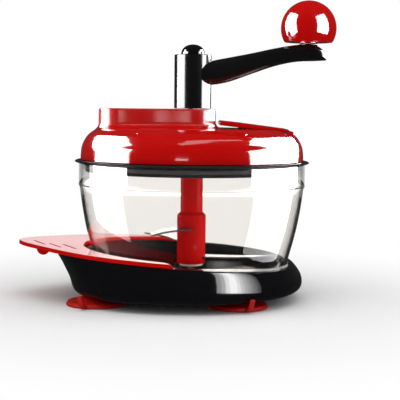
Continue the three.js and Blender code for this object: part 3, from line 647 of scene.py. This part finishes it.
BACK = [bezier([(16, -8), (52, -15), (74, 8)], k / 20) for k in range(21)]
FRONT = [bezier([(74, 8), (46, 0), (16, 8)], k / 20) for k in range(1, 21)]
flat = [(BLADE_ROOT, BACK[0].y), *BACK, *FRONT, (BLADE_ROOT, FRONT[-1].y)]
blade_steel = metal("blade_steel", (0.66, 0.66, 0.67), rough=0.12, lines=(1, 14, 1))
for name, (height, turn) in BLADES.items():
    spin = Matrix.Rotation(math.radians(turn), 2)
    blade_line = [(*(spin @ Vector(spot)), height) for spot in flat]
    blade = slab("blade_" + name + "_ground", blade_line, (0, 0, BLADE_THICKNESS))
    bevelled(blade, 0.35, segments=2, angle=50)
    dress(blade, blade_steel, "cutter", "blade_" + name)

# Lid plate
# A dark plate that closes the gear case from below. Its skirt fits inside the bowl, and its thin black
# lip lies on the bowl's rim. Moulded, with a hole for the feed and four for its screws.

dark = plastic(
    "lid_plate_dark", (0.018, 0.016, 0.019), (0.024, 0.021, 0.025),
    rough=0.16, spread=0.1, grain=900, bump=0.1,
)
PLATE_OUTLINE = [
    (8.3, 106.3), (23, 106.3, 0.6), (24.2, 107.5, 0.6), (91.4, 107.5, 0.5), (91.4, 109.9, 0.2),
    (90, 109.9, 0.2), (90, 113.7, 0.2), (92, 113.7, 0.2), (92, 115.3, 0.2), (98.4, 115.3, 0.3),
    (100, 116.1, 0.3), (98.6, 117.1, 0.4), (91.7, 117.3), (91.7, 121, 0.3), (88.4, 121, 0.3),
    (87.8, 109.9, 0.4), (12, 109.9, 0.4), (12, 119, 0.4), (8.3, 119, 0.3),
]
AXLE_X = -50.25
AXLE_BOSS = 7
AXLE_BORE = 3.3
SCREW_BOSS = 5.5
SCREW_BORE = 1.9
SCREW_HEAD = 3.6
LID_SCREWS = [(-40, 69), (40, 69), (-40, -69), (40, -69)]
FEED_X = (38, 74)
FEED_HALF = 18
FEED_WALL = 2.5
FEED_GAP = 0.4


def feed_block(grow, z0, z1):
    """A block as wide as the feed, with its four sides moved out."""
    return block(FEED_X[0] - grow, FEED_X[1] + grow, -FEED_HALF - grow, FEED_HALF + grow, z0, z1)


lid_plate = turned("lid_underside", PLATE_OUTLINE, closed=True, steps=160)
carved(lid_plate, rod(AXLE_BOSS, AXLE_X, 0, 109, 118), operation="UNION")
for x, y in LID_SCREWS:
    carved(lid_plate, rod(SCREW_BOSS, x, y, 109, 117, 32), operation="UNION")
for x, y in LID_SCREWS:
    carved(lid_plate, rod(SCREW_BORE, x, y, 100, 130, 24), rod(SCREW_HEAD, x, y, 100, 111, 32))
carved(lid_plate, rod(AXLE_BORE, AXLE_X, 0, 110.6, 130, 32), feed_block(FEED_WALL + FEED_GAP, 100, 130))
evened(lid_plate)
dress(lid_plate, dark, "lid", "lid_plate")

# Inside the lid
# A seal round the skirt, the screws, and the gears that speed the crank up, with their axle, shafts and
# bushes. Their shapes are right as they are, so they only get their finishes.

seal = plastic(
    "seal_rubber", (0.04, 0.04, 0.042), (0.055, 0.055, 0.056),
    rough=0.5, spread=0.15, grain=1200, bump=0.3,
)
finish_nodes(seal, "lid_gasket")
finish_nodes(steel, *["lid_screw_" + corner for corner in CORNERS])
finish_nodes(steel, "gear_axle", "output_shaft", "output_gear")
finish_nodes(steel, "crank_shaft", "crank_washer", "crank_screw")
finish_nodes(white_nylon, "crank_gear", "compound_gear", "crank_shaft_bush", "output_shaft_bush")

# Lid cover
# A domed red cover with a raised turret of two round lobes that houses the gears, and a feed chute on
# its right. Moulded in one glossy piece; the turret rises from the dome with a soft fillet.

LOBE = 19.7
LOBE_SPAN = 60
WAIST = 2.4
TURRET_TOP = 160.8
TURRET_EDGE = 1.6
TURRET_FOOT = 0.2
TURRET_REACH = 70.0
FILLET = 5
DOME = [
    (0, 145), (40, 144.8), (60, 144.5), (72, 144), (78, 143.6), (83.2, 142.1), (86.7, 139.9),
    (89.3, 137.4),
]
DOME_EDGE = 87.5
SHOULDER = [
    (89.3, 137.4, 30), (92.3, 132.7, 30), (94.1, 127.9, 40), (94.7, 121.3, 40), (94.7, 117.9, 0.2),
]
UNDER_DOME = [
    (94.2, 117.6), (92.5, 117.6), (92.1, 118), (92.1, 121.3), (91.6, 127.2), (89.9, 131.4),
    (87.4, 135.2),
]
ROOM_TOP = 159
ROOM_WALL = 2.6
CEILING = 141.8
CEILING_DROP = 2.4
CEILING_EDGE = 82.5
HALVINGS = 30
HEART = -30
TURNS = full_turn(200)


def quarter_turn(steps):
    return [math.pi / 2 * k / steps for k in range(steps + 1)]


def in_turret(x, y, grow):
    radius = LOBE + grow
    if x > 0:
        return math.hypot(x, y) < radius
    if x < -LOBE_SPAN:
        return math.hypot(x + LOBE_SPAN, y) < radius
    return abs(y) < radius - WAIST * (1 - math.cos(2 * math.pi * x / LOBE_SPAN)) / 2


def turret_line(grow):
    """The turret's outline as (x, y) points seen from its heart, grown by an amount."""
    line = []
    for turn in TURNS:
        low, high = 0.0, TURRET_REACH
        for _ in range(HALVINGS):
            middle = (low + high) / 2
            if in_turret(HEART + middle * math.cos(turn), middle * math.sin(turn), grow):
                low = middle
            else:
                high = middle
        line.append((HEART + low * math.cos(turn), low * math.sin(turn)))
    return line


def circle_line(radius):
    """A circle about the bowl's axis as (x, y) points seen from the turret's heart."""
    line = []
    for turn in TURNS:
        inward = HEART * math.cos(turn)
        reach = -inward + math.sqrt(inward * inward - HEART * HEART + radius * radius)
        line.append((HEART + reach * math.cos(turn), reach * math.sin(turn)))
    return line


def dome_ring(line, lift=0.0):
    return [(x, y, read_curve(DOME, math.hypot(x, y)) + lift) for x, y in line]


def level_ring(line, height):
    return [(x, y, height) for x, y in line]


def between(inner, outer, share):
    return [tuple(Vector(a).lerp(Vector(b), share)) for a, b in zip(inner, outer)]


heart_line = [(HEART, 0)] * len(TURNS)
foot_line = turret_line(FILLET + TURRET_FOOT)
edge_line = circle_line(DOME_EDGE)
rings = [level_ring(between(heart_line, turret_line(-2), share), TURRET_TOP) for share in (0, 0.5, 1)]
for turn in quarter_turn(5)[1:]:
    line = turret_line(-TURRET_EDGE + TURRET_EDGE * math.sin(turn))
    rings.append(level_ring(line, TURRET_TOP - TURRET_EDGE + TURRET_EDGE * math.cos(turn)))
rings.append(level_ring(turret_line(0.15), 153))
for turn in quarter_turn(8):
    grow = FILLET * (1 - math.cos(turn))
    rings.append(dome_ring(turret_line(TURRET_FOOT + grow), 0.05 + FILLET * (1 - math.sin(turn))))
for share in (0.12, 0.25, 0.4, 0.55, 0.7, 0.85, 1):
    rings.append(dome_ring(between(foot_line, edge_line, share)))
shoulder = softened([(DOME_EDGE, read_curve(DOME, DOME_EDGE)), *SHOULDER, UNDER_DOME[0]])
rings += [level_ring(circle_line(radius), height) for radius, height in [*shoulder[1:], *UNDER_DOME[1:]]]
inner_foot = turret_line(-ROOM_WALL)
inner_edge = circle_line(CEILING_EDGE)
for share in (1, 0.8, 0.5, 0):
    rings.append(level_ring(between(inner_foot, inner_edge, share), CEILING - CEILING_DROP * share ** 6))
rings += [level_ring(inner_foot, ROOM_TOP), level_ring(heart_line, ROOM_TOP)]
lid = wrapped("lid_dome", rings)

FLAP_HALF = 24
FLAP_PIN = (78.6, 142.6)
EAR_RADIUS = 2.3
EAR_INNER = 24.5
EAR_OUTER = 27.5
SEAT_SIDE = [
    (30, 146.3), (38, 145.3), (60, 142.7), (75.3, 140.4), (78.6, 139.8), (82.6, 141.2), (84, 160),
    (30, 160),
]
HINGE_BORE = 1.4
SHAFT_BOSS = 11.2
SHAFT_BORE = 8.3
SCREW_POST = 4.2
POST_BORE = 1.5


def cross_rod(radius, x, z, y0, y1, steps=32):
    """A plain rod from front to back, used only to cut with or to build on."""
    ring = [(x + radius * math.cos(turn), y0, z + radius * math.sin(turn)) for turn in full_turn(steps)]
    return slab("rod", ring, (0, y1 - y0, 0))


backing = block(FEED_X[0] - FEED_WALL, 84, -EAR_OUTER, EAR_OUTER, 136.5, 142.8)
added = [feed_block(FEED_WALL, 107.7, 142.5), backing]
added += [rod(SHAFT_BOSS, 0, 0, 141, 160), rod(AXLE_BOSS, AXLE_X, 0, 141, 160)]
added += [rod(SCREW_POST, x, y, 117.3, 141.5, 32) for x, y in LID_SCREWS]
ear_x = (FLAP_PIN[0] - EAR_RADIUS, FLAP_PIN[0] + EAR_RADIUS)
for near, far in both_sides(EAR_INNER, EAR_OUTER):
    added.append(block(*ear_x, near, far, 139.5, FLAP_PIN[1]))
    added.append(cross_rod(EAR_RADIUS, *FLAP_PIN, near, far))
carved(lid, *added, operation="UNION")
cuts = [crosswise("seat", SEAT_SIDE, EAR_INNER), feed_block(0, 100, 160)]
cuts += [cross_rod(HINGE_BORE, *FLAP_PIN, -30, 30, 20)]
cuts += [rod(SHAFT_BORE, 0, 0, 130, 170), rod(AXLE_BORE, AXLE_X, 0, 130, 158, 32)]
cuts += [rod(POST_BORE, x, y, 110, 132, 20) for x, y in LID_SCREWS]
carved(lid, *cuts)
evened(lid)

SATIN_FROM = 0.1455
SATIN_FULL = 0.148
SATIN_SPREAD = 0.14
lid_red = red_gloss.copy()
lid_red.name = "red_lid"
tree = lid_red.node_tree
shader = tree.nodes["Principled BSDF"]
place = tree.nodes.new("ShaderNodeTexCoord")
parts = tree.nodes.new("ShaderNodeSeparateXYZ")
tree.links.new(place.outputs["Object"], parts.inputs["Vector"])
rise = tree.nodes.new("ShaderNodeMapRange")
rise.inputs["From Min"].default_value = SATIN_FROM
rise.inputs["From Max"].default_value = SATIN_FULL
rise.inputs["To Max"].default_value = SATIN_SPREAD
tree.links.new(parts.outputs["Z"], rise.inputs["Value"])
rougher = tree.nodes.new("ShaderNodeMath")
tree.links.new(shader.inputs["Roughness"].links[0].from_socket, rougher.inputs[0])
tree.links.new(rise.outputs["Result"], rougher.inputs[1])
tree.links.new(rougher.outputs["Value"], shader.inputs["Roughness"])
dress(lid, lid_red, "lid", "lid_cover")

# Feed flap
# A red flap that closes the feed chute, slightly raised at the turret's side so that a finger can lift
# it. It turns on a steel pin at the lid's edge, and the plug moulded below it fills the chute's mouth.

FLAP_SIDE = [
    (22.6, 147.6, 1), (30, 146.7), (38, 145.9), (60, 143.2), (75.5, 140.9, 2), (78.6, 140.4, 2),
    (80.8, 141.6, 1.5), (81.2, 143.4, 1.5), (80, 144.7, 2), (60, 147.2, 60), (38, 149.9, 60),
    (23.4, 151.3, 1), (22.3, 150.2, 0.6),
]
FLAP_HEART = [(22.6, 149.2), (81.2, 142.9)]
FLAP_EDGE = 1.2
FLAP_HALF_WIDTH = 30
FLAP_THICKNESS = 2
PLUG_SIDE = [(39.6, 139), (72.4, 139), (72.4, 142.5), (39.6, 146.5)]
PLUG_PLAY = 1
HOLLOW_SIDE = [(42, 138), (70, 138), (70, 142), (42, 144.5)]
HOLLOW_INSET = 3.4
flap_line = softened(FLAP_SIDE, closed=True, steps=4)


def flap_ring(y, drawn_in):
    """The flap's outline at one place, drawn in towards the flap's heart for its rounded side edges."""
    (x0, z0), (x1, z1) = FLAP_HEART
    middle = (x0 + x1) / 2
    ring = []
    for x, z in flap_line:
        heart = z0 + (z1 - z0) * (x - x0) / (x1 - x0)
        along = middle + (x - middle) * (1 - drawn_in / FLAP_HALF_WIDTH)
        ring.append((along, y, heart + (z - heart) * (1 - drawn_in / FLAP_THICKNESS)))
    return ring


near_end = []
for turn in quarter_turn(5):
    near_end.append((-FLAP_HALF + FLAP_EDGE * (1 - math.sin(turn)), FLAP_EDGE * (1 - math.cos(turn))))
stations = [*reversed(near_end), (0, 0), *[(-y, drawn_in) for y, drawn_in in near_end]]
flap = wrapped("flap_leaf", [flap_ring(*station) for station in stations])
carved(flap, crosswise("plug", PLUG_SIDE, FEED_HALF - PLUG_PLAY), operation="UNION")
hollow = crosswise("hollow", HOLLOW_SIDE, FEED_HALF - HOLLOW_INSET)
carved(flap, hollow, cross_rod(HINGE_BORE, *FLAP_PIN, -40, 40, 20))
evened(flap)
dress(flap, red_gloss, "flap", "feed_flap")
finish_nodes(steel, "flap_hinge_pin")

# Crank
# A black column with a long arm swept up to the right, moulded in one glossy piece. A screw holds it on
# its shaft, under a domed cap, and a short neck on the arm's end carries the knob.

COLUMN = 15.7
KNOB_X = 97.7
ARM = [
    (6, 181.2, 198, 14.2), (15.6, 181.3, 201.4, 14.2), (30, 183.9, 204.4, 13.6),
    (50, 191, 208.4, 12.6), (69, 197.6, 212.6, 11.8), (86.4, 201.4, 215.6, 11.2),
    (100, 202.2, 216.6, 10.6), (106, 202.5, 214.4, 9.6), (110, 202.7, 211.2, 8),
    (112.5, 202.9, 206, 5.4),
]
COLUMN_OUTLINE = [(0, 161.1), (15.2, 161.1), (COLUMN, 161.6), (COLUMN, 206.6, 0.8), (0, 206.6)]
NECK_OUTLINE = [
    (0, 208), (8.6, 208), (8.6, 215.2, 0.8), (7.5, 215.8, 0.3), (7.5, 216.6, 0.3), (0, 216.6),
]
ARM_SIDES = 48
ARM_STEPS = 40
ARM_SQUARENESS = 0.62
ARM_CROWDING = 1.6
CAP_SEAT = 8.3
SHAFT_HEXAGON = 5.4
CRANK_SCREW_BORE = 2.3
PIN_HEAD = 5.2
PIN_BORE = 3.3
arm_black = plastic(
    "arm_black", (0.0045, 0.0045, 0.005), (0.007, 0.007, 0.008),
    rough=0.13, spread=0.06, grain=420, bump=0.04, specular=0.45,
)


def arm_ring(x):
    """The arm's outline at one place: a rounded square between its low and high edge."""
    low, high, half = (read_curve([(row[0], row[k]) for row in ARM], x) for k in (1, 2, 3))
    ring = []
    for k in range(ARM_SIDES):
        turn = 2 * math.pi * (k + 0.5) / ARM_SIDES
        across = squarer(math.cos(turn), ARM_SQUARENESS)
        up = squarer(math.sin(turn), ARM_SQUARENESS)
        ring.append((x, half * across, (low + high) / 2 + (high - low) / 2 * up))
    return ring


arm_start = ARM[0][0]
arm_length = ARM[-1][0] - arm_start
arm_shares = [1 - (1 - k / ARM_STEPS) ** ARM_CROWDING for k in range(ARM_STEPS + 1)]
arm = wrapped("crank_lever", [arm_ring(arm_start + arm_length * share) for share in arm_shares])
column = turned("column", COLUMN_OUTLINE, steps=96)
neck = turned("neck", NECK_OUTLINE, x=KNOB_X, steps=64)
carved(arm, column, neck, operation="UNION")
carved(arm, rod(CAP_SEAT, 0, 0, 200, 210), rod(PIN_HEAD, KNOB_X, 0, 190, 205.6, 32))
carved(arm, rod(SHAFT_HEXAGON, 0, 0, 150, 196.2, 6), rod(PIN_BORE, KNOB_X, 0, 200, 220, 32))
carved(arm, rod(CRANK_SCREW_BORE, 0, 0, 190, 210, 24))
evened(arm)
dress(arm, arm_black, "crank", "crank_arm")

CAP_OUTLINE = [
    (0, 213), (5, 211.6), (7, 209), (7, 202.6), (8, 202.6), (8, 206.9), (10.1, 206.9, 0.2),
    (10, 208.6, 3), (8.9, 211.4, 5), (6.6, 213.7, 6), (3.5, 215, 8), (0, 215.4),
]
cap = turned("column_cap", CAP_OUTLINE, steps=72)
dress(cap, black_gloss, "crank", "crank_cap")
finish_nodes(steel, "knob_pin")

# Ball knob
# A red ball with a flat bottom that spins on the arm's pin, over a small red collar. The ball is moulded
# in one glossy piece, with a bore for the pin's head.

KNOB_Z = 229.7
KNOB_RADIUS = 23.47
KNOB_FLAT = 218
KNOB_EDGE = 1.2
start = math.asin((KNOB_FLAT + KNOB_EDGE - KNOB_Z) / KNOB_RADIUS)
ball = []
for k in range(25):
    turn = start + (math.pi / 2 - start) * k / 24
    ball.append((KNOB_RADIUS * math.cos(turn), KNOB_Z + KNOB_RADIUS * math.sin(turn)))
ball[-1] = (0, KNOB_Z + KNOB_RADIUS)
under = [(0, 237.5), (4.8, 237.5), (4.8, 220.5), (8.3, 220.5), (8.3, KNOB_FLAT)]
flat_edge = (ball[0][0] - 0.9, KNOB_FLAT, 0.8)
knob = turned("ball_knob", [*under, flat_edge, *ball], x=KNOB_X, steps=96)
dress(knob, red_gloss, "knob", "knob")
COLLAR_OUTLINE = [(3.3, 216.9), (7.8, 216.9, 0.5), (8, 218.6, 0.6), (7.4, 220.2, 0.4), (3.3, 220.2)]
collar = turned("knob_ring", COLLAR_OUTLINE, closed=True, x=KNOB_X, steps=64)
dress(collar, red_gloss, "knob", "knob_collar")

# Floor and light
# A pale floor that turns white further out, and a room that is white behind the object but dark in its
# gloss. Three soft boxes light it. The others show only in the gloss of the pieces they are for, as if
# flags kept them off the rest, and two also show through the bowl. Steel sees white ones on all sides.

FLOOR_NEAR = 0.11
FLOOR_FAR = 0.36
bpy.ops.object.select_all(action="DESELECT")
bpy.ops.mesh.primitive_plane_add(size=12, location=(0, 0, 0))
floor = bpy.context.object
floor.name = "floor"
pale, tree, shader, place = new_material("pale_floor")
shader.inputs["Base Color"].default_value = (0.9, 0.9, 0.9, 1)
shader.inputs["Roughness"].default_value = 0.7
shader.inputs["Specular IOR Level"].default_value = 0
distance = tree.nodes.new("ShaderNodeVectorMath")
distance.operation = "LENGTH"
tree.links.new(place, distance.inputs[0])
fade = tree.nodes.new("ShaderNodeMapRange")
fade.interpolation_type = "SMOOTHSTEP"
fade.inputs["From Min"].default_value = FLOOR_NEAR
fade.inputs["From Max"].default_value = FLOOR_FAR
tree.links.new(distance.outputs["Value"], fade.inputs["Value"])


def combined(tree, operation, first, second):
    """The result of one sum on two levels, kept between nought and one."""
    sum_node = tree.nodes.new("ShaderNodeMath")
    sum_node.operation = operation
    sum_node.use_clamp = True
    tree.links.new(first, sum_node.inputs[0])
    tree.links.new(second, sum_node.inputs[1])
    return sum_node.outputs[0]


def ray_kinds(tree):
    """Two levels of one or nought: for rays seen straight or through the bowl, and for mirrored ones."""
    rays = tree.nodes.new("ShaderNodeLightPath").outputs
    seen = combined(tree, "MAXIMUM", rays["Is Camera Ray"], rays["Is Transmission Ray"])
    direct = combined(tree, "SUBTRACT", seen, rays["Glossy Depth"])
    mirrored = combined(tree, "SUBTRACT", rays["Glossy Depth"], rays["Is Diffuse Ray"])
    return direct, mirrored


def mixed_level(tree, test, if_so, otherwise):
    """Passes on one level where the test is one and the other where it is nought."""
    mix = tree.nodes.new("ShaderNodeMix")
    tree.links.new(test, mix.inputs["Factor"])
    for name, level in (("A", otherwise), ("B", if_so)):
        if isinstance(level, float):
            mix.inputs[name].default_value = level
        else:
            tree.links.new(level, mix.inputs[name])
    return mix.outputs["Result"]


GLOSS_FLOOR = 0.03
direct, mirrored = ray_kinds(tree)
bright = tree.nodes.new("ShaderNodeEmission")
tree.links.new(mixed_level(tree, mirrored, GLOSS_FLOOR, 1.0), bright.inputs["Strength"])
faded = combined(tree, "MULTIPLY", direct, fade.outputs["Result"])
both = tree.nodes.new("ShaderNodeMixShader")
tree.links.new(combined(tree, "MAXIMUM", faded, mirrored), both.inputs["Fac"])
tree.links.new(shader.outputs["BSDF"], both.inputs[1])
tree.links.new(bright.outputs["Emission"], both.inputs[2])
tree.links.new(both.outputs["Shader"], tree.nodes["Material Output"].inputs["Surface"])
floor.data.materials.append(pale)


def soft_box(name, place, target, width, height, level, glossy=False, lean=0):
    """A rectangular lamp of a level seen from the object; a glossy one only shows in reflections."""
    light = bpy.data.lights.new(name, "AREA")
    light.shape = "RECTANGLE"
    light.size = width
    light.size_y = height
    light.energy = level * math.pi * width * height
    lamp = bpy.data.objects.new(name, light)
    bpy.context.scene.collection.objects.link(lamp)
    lamp.location = place
    facing = (Vector(target) - Vector(place)).to_track_quat("-Z", "Y").to_matrix()
    lamp.rotation_euler = (facing @ Matrix.Rotation(math.radians(lean), 3, "Z")).to_euler()
    lamp.visible_camera = False
    lamp.visible_transmission = False
    lamp.visible_glossy = glossy
    lamp.visible_diffuse = not glossy
    return lamp


LIT_PLACE = (0, 0, 0.1)
soft_box("left_light", (-1.0, -0.1, 0.7), LIT_PLACE, 1, 1.2, 1.0)
soft_box("right_light", (1.05, -0.1, 0.7), LIT_PLACE, 1, 1.2, 1.0)
soft_box("top_light", (0.0, -0.3, 1.5), LIT_PLACE, 1.4, 1.2, 1.5)


def lit_only(lamp, *pieces):
    """The lamp shows only in these pieces."""
    group = bpy.data.collections.new(lamp.name)
    for piece in pieces:
        group.objects.link(piece)
    lamp.light_linking.receiver_collection = group


def upright(name, x, near, far, low, high, level, *pieces):
    """A soft box for gloss that stands to one side, between two depths and two heights."""
    place = (x, (near + far) / 2, (low + high) / 2)
    lamp = soft_box(name, place, (0, *place[1:]), far - near, high - low, level, glossy=True)
    lit_only(lamp, *pieces)


def aimed(name, place, target, width, height, level, *pieces, lean=0):
    """A soft box for gloss that faces a target."""
    lit_only(soft_box(name, place, target, width, height, level, glossy=True, lean=lean), *pieces)


LEFT_BOX = (-1.0, -0.51, 0.39)
RIGHT_BOX = (1.03, -0.62, 0.82)
PATCH = 30
STRIP = 28
HUB_STRIP = 16
BOWL_WINDOW = 5
upright("left_patch", *LEFT_BOX, -0.2, 0.6, PATCH, lid, flap)
aimed("left_patch_top", (-1.0, 0.55, 0.93), (0, 0.55, 0.93), 1.0, 1.5, PATCH, lid, flap, lean=55)
upright("right_patch", *RIGHT_BOX, -0.2, 0.6, PATCH, lid, flap)
aimed("right_patch_top", (1.03, 0.9, 0.98), (0, 0.9, 0.98), 1.6, 1.9, PATCH, lid, flap, lean=-55)
aimed("ridge", (0.35, -0.62, 1.5), (AXIS, -0.09, 0.135), 1.5, 0.22, 4, lid)
aimed("turret_front", (-0.15, -1.0, 0.19), (-0.02, 0, 0.19), 0.2, 0.08, 8, lid)
upright("left_collar", *LEFT_BOX, -0.2, 0.3, PATCH, bowl)
upright("right_collar", *RIGHT_BOX, -0.2, 0.3, PATCH, bowl)
aimed("left_bowl", (-0.122, -0.05, 0.06), (AXIS, 0, 0.06), 0.1, 0.12, BOWL_WINDOW, bowl)
aimed("right_bowl", (0.144, -0.05, 0.06), (AXIS, 0, 0.06), 0.123, 0.12, BOWL_WINDOW, bowl)
upright("left_hub", -0.98, 0.1, 1.0, -0.2, 0.3, HUB_STRIP, hub)
upright("right_hub", 0.98, -0.5, 0.1, -0.2, 0.3, HUB_STRIP, hub)
upright("left_strip", -0.98, -0.8, 0.36, -0.1, 0.9, STRIP, arm, cap)
upright("right_strip", 0.98, -0.55, 1.0, -0.1, 0.9, STRIP, arm, cap)
aimed("left_window", (-0.24, -0.02, 0.33), (0.111, -0.02, 0.33), 0.4, 0.56, STRIP, knob, collar, lean=14)
aimed("right_window", (0.4, -0.2, 0.36), (0.111, -0.03, 0.36), 0.36, 0.5, STRIP, knob, collar)
BAND_HEIGHT = 0.045
BAND_CURVE = [(0.06, -0.157), (0.11, -0.138), (0.132, -0.1)]
BAND_LEVELS = [8, 12, 22, 28, 28, 22, 16, 12, 9, 6, 4, 2]
for k, level in enumerate(BAND_LEVELS):
    first, last = (bezier(BAND_CURVE, (k + end) / len(BAND_LEVELS)) for end in (0, 1))
    place = (*(first + last) / 2, BAND_HEIGHT)
    aimed(f"base_band_{k}", place, (AXIS, 0, BAND_HEIGHT), (last - first).length, 0.12, level, shell)
rear_band = soft_box("rear_band", (-0.2, 2.0, 0.36), (-0.1, 0, 0.36), 0.9, 0.4, 1.2, glossy=True)
bowl_rear = soft_box("bowl_rear", (AXIS, 1.3, 0), (AXIS, 0, 0), 3.0, 0.6, 1.0, glossy=True)
for lamp in (rear_band, bowl_rear):
    lamp.visible_transmission = True
lit_only(rear_band, plate, bowl)
lit_only(bowl_rear, bowl)
steels = {steel.name, blade_steel.name}
steel_pieces = [piece for piece in bpy.data.objects if steels & set(piece.material_slots.keys())]
STEEL_PLACE = (AXIS, 0, 0.1)
upright("steel_left", -1.0, -0.9, 0.9, 0.02, 1.1, 1.0, *steel_pieces)
upright("steel_right", 1.0, -0.9, 0.9, 0.02, 1.1, 1.0, *steel_pieces)
aimed("steel_above", (0.0, -0.1, 1.4), STEEL_PLACE, 1.8, 1.8, 1.0, *steel_pieces)
aimed("steel_rear", (0.0, 1.2, 0.6), STEEL_PLACE, 1.8, 1.0, 1.0, *steel_pieces)
aimed("steel_front", (0.0, -1.2, 0.7), STEEL_PLACE, 1.8, 0.6, 0.6, *steel_pieces)

world = bpy.data.worlds.new("room")
world.use_nodes = True
bpy.context.scene.world = world
tree = world.node_tree
paint = tree.nodes["Background"]
paint.inputs["Color"].default_value = (1, 1, 1, 1)
FILL = 0.45
GLOSS_ROOM = 0.04
direct, mirrored = ray_kinds(tree)
level = mixed_level(tree, mirrored, GLOSS_ROOM, FILL)
tree.links.new(mixed_level(tree, direct, 1.0, level), paint.inputs["Strength"])

view = bpy.context.scene.view_settings
view.view_transform = "Standard"
